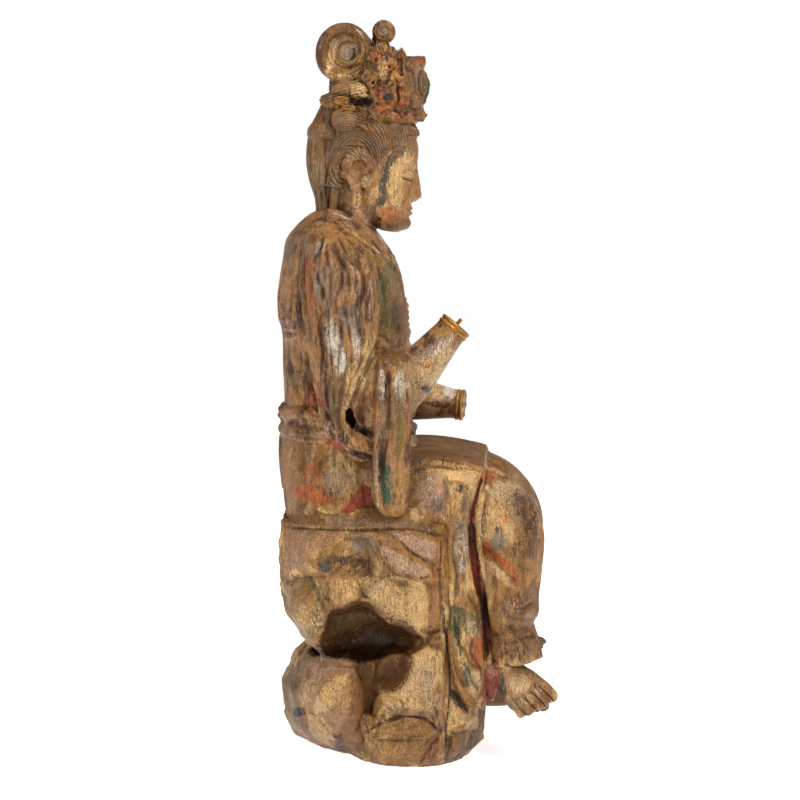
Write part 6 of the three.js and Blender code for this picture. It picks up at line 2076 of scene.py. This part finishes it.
@dataclass
class Crown(CarvedPiece):
    """The topknot's two rolled ends, the crown in front of it and its ornaments."""

    name: str = "crown"
    grain: float = 1.0
    limit: int = 186_000
    rubbing: int = 1
    coats: Coats = (BROWN, OCHRE, UMBER)
    seed: int = 14
    hollow: float = 0.9
    deep: float = 0.9
    knot: Row = (-30, 104, 1047)
    cuts: tuple[Cut, ...] = CROWN_CUTS
    paints: tuple[Paint, ...] = CROWN_PAINTS

    def volute(self) -> list[Form]:
        """One rolled end of the topknot: a round bead that winds in over a flat face to a hub."""
        centre = self.knot
        stations = []
        for t in np.linspace(0, 1, 24):
            angle = math.radians(-62) - t * 1.75 * TURN
            radius = 10 + 28 * (1 - float(smooth(t, 0.25, 0.7))) - 6 * (1 - float(smooth(t, 0, 0.15)))
            y = centre[1] - radius * math.cos(angle)
            z = centre[2] + radius * math.sin(angle)
            stations.append((centre[0] - 5 * t, y, z, 15 - 3 * t, 10.5 - 5.5 * t))
        coil = skin(stations, level=False, sides=40, rings=200)
        face = skin([(-20, 104, 1047, 33, 33), (-37, 104, 1047, 32, 32), (-39, 104, 1047, 27, 27)],
                    level=False, side=(0, 0, 1), rings=12)
        hub = ball((-40, 104, 1047), (7, 10, 10))
        return [coil, face, hub]

    def around(self, yaw: float, radii: Row, middle: Row) -> Row:
        """A place on a level oval with radii in x and y round a middle in y and z."""
        out = math.radians(yaw)
        return (radii[0] * math.sin(out), middle[0] - radii[1] * math.cos(out), middle[1])

    def flower(self, at: Row, yaw: float, size: float) -> list[Form]:
        """A five-petalled boss that faces out along a level direction."""
        petal = skin([
            (0, 0, -5, size * 0.8, size * 0.8), (0, 0, 2, size, size), (0, 0, 5, size * 0.6, size * 0.6),
        ], fold=lambda angle, t: size * 0.22 * np.cos(5 * angle) + 0 * t, sides=60, rings=20)
        pearl = ball((0, 0, 6), (size * 0.36,) * 3, sides=24)
        ring = skin([(0, 0, 3.5, size * 0.5, size * 0.5), (0, 0, 6.2, size * 0.46, size * 0.46)], sides=40, rings=6)
        return [form.changed(yawed(yaw) @ pitched(90), at) for form in (petal, ring, pearl)]

    def forms(self) -> list[Form]:
        """The band, the wall of the crown, its leaves, rolls and flowers, and the topknot."""
        drum = skin([(-28, 104, 1047, 33, 33), (28, 104, 1047, 33, 33)], level=False, side=(0, 0, 1), rings=8)
        base = skin([(0, 92, 972, 44, 42), (0, 96, 1000, 41, 38), (0, 98, 1022, 36, 34)], fold=pleats(30, 0.9))
        band = skin([(0, 60, 944, 48, 56), (0, 57, 953, 56, 61), (0, 56, 963, 58, 62), (0, 56, 971, 52, 56)])
        wall = skin([
            (0, 56, 964, 50, 52), (0, 52, 995, 48, 47), (0, 53, 1026, 43, 44, 2.4), (0, 59, 1044, 35, 39, 2.2),
            (0, 63, 1057, 20, 24),
        ], fold=pleats(18, 1.2))

        def cupped(angle: Array, t: Array) -> Array:
            """A leaf's middle rib and its raised rims."""
            return 0.7 * np.cos(6 * angle) * smooth(t, 0.05, 0.3)

        front_leaf = skin([
            (0, 4, 962, 18, 9), (0, 8, 984, 30, 8), (0, 7, 1010, 34, 8), (0, 4, 1030, 29, 12), (0, 6, 1043, 18, 15),
        ], fold=cupped)
        side_leaf = skin([
            (-34, 10, 966, 10, 12), (-40, 4, 992, 9, 19), (-40, 5, 1018, 9, 17), (-36, 14, 1040, 6, 8),
        ], fold=cupped)
        roll_back = ball((-40, 100, 993), (17, 28, 13))
        roll_low = ball((-30, 122, 978), (17, 24, 13))
        bun = ball((-40, 104, 949), (22, 24, 23))
        lobe = ball((-22, 4, 966), (11, 11, 11))
        upper = block((-50, 113, 977), (14, 26, 13), pitch=6)
        lower = block((-57, 101, 966), (12, 20, 8), pitch=8)
        stem = roll([(0, 46, 1034), (0, 52, 1048), (0, 58, 1061), (0, 60, 1076)], [22, 17, 12, 9], pleats(9, 1.2))
        head = skin([(-12, 52, 1080.5, 13, 13), (-9, 52, 1080.5, 16.6, 16.6), (9, 52, 1080.5, 16.6, 16.6),
                     (12, 52, 1080.5, 13, 13)], level=False, side=(0, 0, 1), rings=24)
        buds = []
        for yaw in (-96, -72, -48, -24, 0, 24, 48, 72, 96):
            buds += self.flower(self.around(yaw, (57, 61), (57, 957)), yaw, 8.5)
        scrolls = [
            curl((-46, 50, 996), 9, 1.2, 150, 3.4), curl((-49, 36, 988), 7, -1.2, 30, 2.8),
            curl((-44, 90, 1020), 7, 1.2, 260, 2.8), curl((-42, 56, 1052), 8, -1.2, 200, 3.0),
            curl((-34, 28, 1046), 7, 1.1, 100, 2.8), curl((-28, 22, 1030), 6, 1.1, 300, 2.6),
            curl((-46, 62, 1036), 10, 1.2, 0, 3.6), curl((-45, 40, 1026), 8, -1.2, 180, 3.2),
            curl((-47, 78, 1012), 8, 1.1, 90, 3.0), curl((-50, 66, 1004), 7, -1.1, 0, 2.8),
            curl((-44, 26, 1004), 7, 1.1, 60, 2.8), curl((-52, 80, 988), 7, 1.2, 200, 2.8),
            curl((-40, 14, 980), 8, 1.1, 120, 3.0),
        ]
        flowers = []
        for i, yaw in enumerate((-80, -46, -16, 16, 46, 80)):
            flowers += self.flower(self.around(yaw, (50, 52), (54, 986 + (4 if i % 2 == 0 else -6))), yaw, 13)
        pearls = [
            ball(self.around(yaw, (47, 45), (53, 1012)), (8, 8, 8), sides=24) for yaw in (-100, -64, -32, 32, 64, 100)
        ]
        doubled = [*self.volute(), side_leaf, roll_back, roll_low, bun, lobe, upper, lower, *scrolls]
        return [drum, base, band, wall, front_leaf, *stem, head, *flowers, *pearls, *buds, *pair(*doubled)]

    def relief(self, spots: Spots) -> Array:
        """Combed hair on the bun and the rolls, and the fine work between the ornaments."""
        x, y, z = spots.points.T
        bun = smooth(np.hypot(y - 104, z - 949), 28, 24) * smooth(np.abs(x), 30, 40)
        strand = z - 949 + 0.02 * (y - 104) ** 2 + 3 * (spots.cloud(12, 61) - 0.5)
        combed = 0.7 * bun * np.cos(strand / 0.62)
        rolls = smooth(np.abs(z - 990), 20, 12) * smooth(y, 76, 84)
        wound = 0.7 * rolls * np.cos((z - 990 + 0.25 * (y - 100)) / 0.75)
        wall = smooth(y, 82, 70) * smooth(z, 972, 980) * smooth(z, 1062, 1050)
        pierced = wall * (5.5 * (spots.cloud(8, 33) - 0.5))
        stem = smooth(z, 1040, 1046) * smooth(np.hypot(y - 52, z - 1080.5), 17, 19) * smooth(y, 78, 72)
        lines = 0.9 * stem * np.cos((y - 0.4 * (z - 1050)) / 0.7)
        reach, way = np.hypot(y - 104, z - 1047), np.arctan2(z - 1047, 104 - y)
        rim = smooth(reach, 30, 33) * smooth(z, 1000, 1012)
        grooves = 0.5 * rim * np.cos(np.abs(x) / 1.1)
        disc = smooth(reach, 33, 30) * smooth(reach, 8, 11) * smooth(np.abs(x), 33, 37)
        winding = -1.6 * disc * bell(np.sin(0.5 * way + math.pi * reach / 9.5), 0, 0.28)
        ring = -1.8 * smooth(np.abs(x), 36, 40) * bell(reach, 11.5, 1.2)
        reach, way = np.hypot(y - 52, z - 1080.5), np.arctan2(z - 1080.5, 52 - y)
        scroll = smooth(reach, 15.5, 13) * smooth(np.abs(x), 7, 10) * smooth(reach, 1, 3)
        ring -= 1.7 * scroll * bell(np.sin(0.5 * way + math.pi * reach / 7.5), 0, 0.34)
        return combed + wound + pierced + lines + grooves + winding + ring

    def gilding(self, spots: Spots) -> Array:
        """The two clasps of the bun."""
        rag = spots.cloud(3, 12)
        return np.clip(sum(patch.weight(spots, rag) for patch in CLASPS), 0, 1)


@dataclass
class BeadChain:
    """Round beads along a path, threaded by Geometry Nodes."""

    name: str
    path: Sequence[Row]
    bead: float = 2.6
    spacing: float = 5.6
    uneven: float = 0.12
    seed: int = 4

    def tree(self) -> bpy.types.GeometryNodeTree:
        """The node tree that threads the beads."""
        tree = bpy.data.node_groups.new(self.name, "GeometryNodeTree")
        inputs = {"Geometry": "Geometry", "Bead radius": "Float", "Spacing": "Float", "Unevenness": "Float",
                  "Seed": "Int", "Finish": "Material"}
        for label, kind in inputs.items():
            tree.interface.new_socket(label, in_out="INPUT", socket_type="NodeSocket" + kind)
        tree.interface.new_socket("Geometry", in_out="OUTPUT", socket_type="NodeSocketGeometry")
        kinds = {
            "start": "NodeGroupInput", "curve": "GeometryNodeMeshToCurve", "spaced": "GeometryNodeResampleCurve",
            "ball": "GeometryNodeMeshIcoSphere", "sizes": "FunctionNodeRandomValue", "low": "ShaderNodeMath",
            "high": "ShaderNodeMath", "threaded": "GeometryNodeInstanceOnPoints",
            "real": "GeometryNodeRealizeInstances", "smooth": "GeometryNodeSetShadeSmooth",
            "dressed": "GeometryNodeSetMaterial", "end": "NodeGroupOutput",
        }
        nodes = {name: tree.nodes.new(kind) for name, kind in kinds.items()}
        nodes["spaced"].mode = "LENGTH"
        nodes["ball"].inputs["Subdivisions"].default_value = 3
        for name, operation in (("low", "SUBTRACT"), ("high", "ADD")):
            nodes[name].operation = operation
            nodes[name].inputs[0].default_value = 1.0
        for source, output, target, socket in (
            ("start", "Geometry", "curve", "Mesh"), ("curve", "Curve", "spaced", "Curve"),
            ("start", "Spacing", "spaced", "Length"), ("start", "Bead radius", "ball", "Radius"),
            ("start", "Unevenness", "low", 1), ("start", "Unevenness", "high", 1),
            ("low", 0, "sizes", 2), ("high", 0, "sizes", 3), ("start", "Seed", "sizes", "Seed"),
            ("spaced", "Curve", "threaded", "Points"), ("ball", "Mesh", "threaded", "Instance"),
            ("sizes", 1, "threaded", "Scale"), ("threaded", "Instances", "smooth", "Geometry"),
            ("smooth", "Geometry", "real", "Geometry"), ("real", "Geometry", "dressed", "Geometry"),
            ("start", "Finish", "dressed", "Material"), ("dressed", "Geometry", "end", "Geometry"),
        ):
            tree.links.new(nodes[source].outputs[output], nodes[target].inputs[socket])
        return tree

    def build(self, shop: Workshop, finish: bpy.types.Material) -> bpy.types.Object:
        """Makes the chain.

        Args:
            shop: The view and the place.
            finish: The beads' material.

        Returns:
            The Blender object, riding on the carving's body.
        """
        knots = np.array(self.path, float)
        places = (spline(knots, np.linspace(0, 1, 12 * len(knots))) + shop.shift) * MM
        mesh = bpy.data.meshes.new(self.name)
        mesh.from_pydata(places.tolist(), [(i, i + 1) for i in range(len(places) - 1)], [])
        thread = bpy.data.objects.new(self.name + "_thread", mesh)
        bpy.context.scene.collection.objects.link(thread)
        tree = self.tree()
        threading = thread.modifiers.new("threading", "NODES")
        threading.node_group = tree
        values = {
            "Bead radius": self.bead * MM,
            "Spacing": self.spacing * MM,
            "Unevenness": self.uneven,
            "Seed": self.seed,
            "Finish": finish,
        }
        for item in tree.interface.items_tree:
            if item.in_out == "INPUT" and item.name in values:
                threading[item.identifier] = values[item.name]
        beads = settled(thread)
        piece = bpy.data.objects.new(self.name, beads)
        bpy.context.scene.collection.objects.link(piece)
        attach(piece, BODY)
        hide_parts(CARVING)
        return piece


@dataclass
class Bracelets:
    """Two gilt rings side by side round each wrist, in millimetres."""

    radius: float = 23.0
    proud: float = 1.8
    ring: float = 6.5
    name: str = "bracelets"

    def one(self, elbow: Row, wrist: Row) -> Form:
        """The rings of one wrist, turned on a lathe."""
        profile = []
        for start in (0.0, self.ring):
            for share in np.linspace(0.04, 0.96, 9):
                crest = math.sin(math.pi * share) ** 0.6
                profile.append((self.radius - 0.6 + (self.proud + 0.6) * crest, start + share * self.ring))
        inner = self.radius - 2.5
        end, axis = arm_end(elbow, wrist)
        across = np.cross(axis, [0.0, 0.0, 1.0])
        across /= np.linalg.norm(across)
        up = np.cross(axis, across)
        rows = [(inner, 0.3), *profile, (inner, 2 * self.ring - 0.3)]
        angle = np.arange(96) * TURN / 96
        start = end - axis * 2 * self.ring
        places = [
            start + axis * height + radius * (np.cos(angle)[:, None] * across + np.sin(angle)[:, None] * up)
            for radius, height in rows
        ]
        hubs = [start + axis * rows[0][1], start + axis * rows[-1][1]]
        return Form(np.vstack([*places, *hubs]), tube_faces(len(rows) - 1, 96)[:, ::-1])

    def build(self, shop: Workshop, arms: UpperRobe, finish: bpy.types.Material) -> bpy.types.Object:
        """Makes the bracelets of both wrists."""
        forms = [self.one(arms.right_elbow, arms.right_wrist), self.one(arms.left_elbow, arms.left_wrist)]
        piece = shop.delivered(heaped(forms), self.name, finish)
        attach(piece, BODY)
        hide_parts(CARVING)
        return piece


@dataclass
class WristPin:
    """The metal pin that held the lost right hand, in millimetres."""

    name: str = "hand_pin"
    radius: float = 2.7
    length: float = 26.0
    proud: float = 10.0
    bevel: float = 0.7
    gap: float = 0.1

    def build(self, shop: Workshop, arms: UpperRobe, finish: bpy.types.Material) -> bpy.types.Object:
        """Makes the pin, with a worn edge at its ends."""
        end, axis = arm_end(arms.right_elbow, arms.right_wrist)
        low, high = end + axis * (self.proud - self.length + self.gap), end + axis * (self.proud - self.gap)
        worn = self.radius - self.bevel
        stations = [
            (*low, worn, worn), (*(low + axis * self.bevel), self.radius, self.radius),
            (*(high - axis * self.bevel * 1.4), self.radius, self.radius),
            (*(high - axis * self.bevel * 0.4), worn + 0.35, worn + 0.35), (*high, worn - 0.4, worn - 0.4),
        ]
        form = skin(stations, level=False, sides=32, rings=60)
        piece = shop.delivered(form, self.name, finish)
        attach(piece, BODY)
        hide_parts(PIN)
        return piece


# The studio


@dataclass(frozen=True)
class Studio:
    """A plain pale floor, a pale wall of light at eye height all round, and soft lamps above."""

    floor: float = 24.0
    floor_glow: float = 0.8
    wall: float = 1.0
    ceiling: float = 0.16
    fade: Row = (0.12, 0.30)
    aim: Row = (0.0, 0.0, 0.55)
    lamps: tuple[tuple[str, Row, float, float], ...] = (
        ("key", (-1.6, -1.2, 2.9), 0.7, 78.0), ("fill", (-1.7, 2.1, 1.9), 0.8, 26.0),
        ("top", (0.0, 0.2, 3.2), 1.2, 34.0), ("far", (2.6, -0.6, 1.8), 1.2, 22.0),
    )

    def surround(self) -> bpy.types.World:
        """The world: bright at the horizon and darker above it."""
        world = bpy.data.worlds.new("studio")
        world.use_nodes = True
        nodes, link = world.node_tree.nodes, world.node_tree.links.new
        place = nodes.new("ShaderNodeTexCoord")
        parts = nodes.new("ShaderNodeSeparateXYZ")
        fade = nodes.new("ShaderNodeMapRange")
        fade.interpolation_type = "SMOOTHSTEP"
        ends = zip(("From Min", "From Max", "To Min", "To Max"), (*self.fade, self.wall, self.ceiling))
        for label, value in ends:
            fade.inputs[label].default_value = value
        sky = nodes["Background"]
        sky.inputs["Color"].default_value = (1.0, 1.0, 1.0, 1)
        link(place.outputs["Generated"], parts.inputs["Vector"])
        link(parts.outputs["Z"], fade.inputs["Value"])
        link(fade.outputs["Result"], sky.inputs["Strength"])
        return world

    def build(self) -> None:
        """Lays the floor and hangs the lights."""
        half = self.floor / 2
        corners = [(-half, -half, 0), (half, -half, 0), (half, half, 0), (-half, half, 0)]
        mesh = bpy.data.meshes.new("floor")
        mesh.from_pydata(corners, [], [(0, 1, 2, 3)])
        floor = bpy.data.objects.new("floor", mesh)
        bpy.context.scene.collection.objects.link(floor)
        bench = Bench("pale_floor")
        mesh.materials.append(bench.finished({
            "Base Color": (0.88, 0.88, 0.88, 1),
            "Roughness": 0.9,
            "Specular IOR Level": 0.1,
            "Emission Color": (1.0, 1.0, 1.0, 1),
            "Emission Strength": self.floor_glow,
        }))
        bpy.context.scene.world = self.surround()
        for name, place, size, power in self.lamps:
            data = bpy.data.lights.new(name, "AREA")
            data.energy = power
            data.size = size
            lamp = bpy.data.objects.new(name, data)
            lamp.location = place
            aim = Vector(self.aim) - Vector(place)
            lamp.rotation_euler = aim.to_track_quat("-Z", "Y").to_euler()
            bpy.context.scene.collection.objects.link(lamp)
        bpy.context.scene.view_settings.view_transform = "Standard"


def layout_shift(arms: UpperRobe, pin: WristPin) -> Array:
    """How far the frame lies from the carving's layout, in millimetres, read off the pin."""
    end, axis = arm_end(arms.right_elbow, arms.right_wrist)
    middle = end + axis * (pin.proud - pin.length / 2)
    low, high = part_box(PIN)
    return np.array((low + high) / 2) / MM - middle


def main() -> None:
    """Builds the studio and every piece, in order."""
    logging.basicConfig(level=logging.INFO, format="%(name)s: %(message)s")
    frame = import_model()
    arms, pin = UpperRobe(), WristPin()
    shift = layout_shift(arms, pin)
    LOG.info("layout shift %s mm", np.round(shift, 2))
    view = PhotoView()
    view.camera(shift)
    Studio().build()
    shop = Workshop(view, shift, Shade(frame["nodes"][CARVING], shift), WornPaint("worn_polychrome").material())
    gilt = OldMetal("old_gilding", rough=0.4).material()
    jewel = OldMetal("worn_bead_gilding", OCHRE, UMBER, 0.25, 0.4).material()
    brass = OldMetal("dull_brass", BRASS, UMBER, 0.9, 0.34).material()

    pieces = [piece.build(shop) for piece in (Rock(), LowerRobe(), arms, Head(), Crown())]
    pieces.append(Bracelets().build(shop, arms, gilt))
    pieces.append(pin.build(shop, arms, brass))
    breast = BeadChain("breast_beads", [(0, 41, 744), (0, 31, 712), (0, 23, 680), (0, 18, 644)], 5.6, 8.6, 0.3)
    pieces.append(breast.build(shop, jewel))
    for piece in pieces:
        LOG.info("%s: %d faces, %.3f m high", piece.name, len(piece.data.polygons), piece.dimensions.z)

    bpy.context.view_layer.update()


if __name__ == "__main__":
    main()
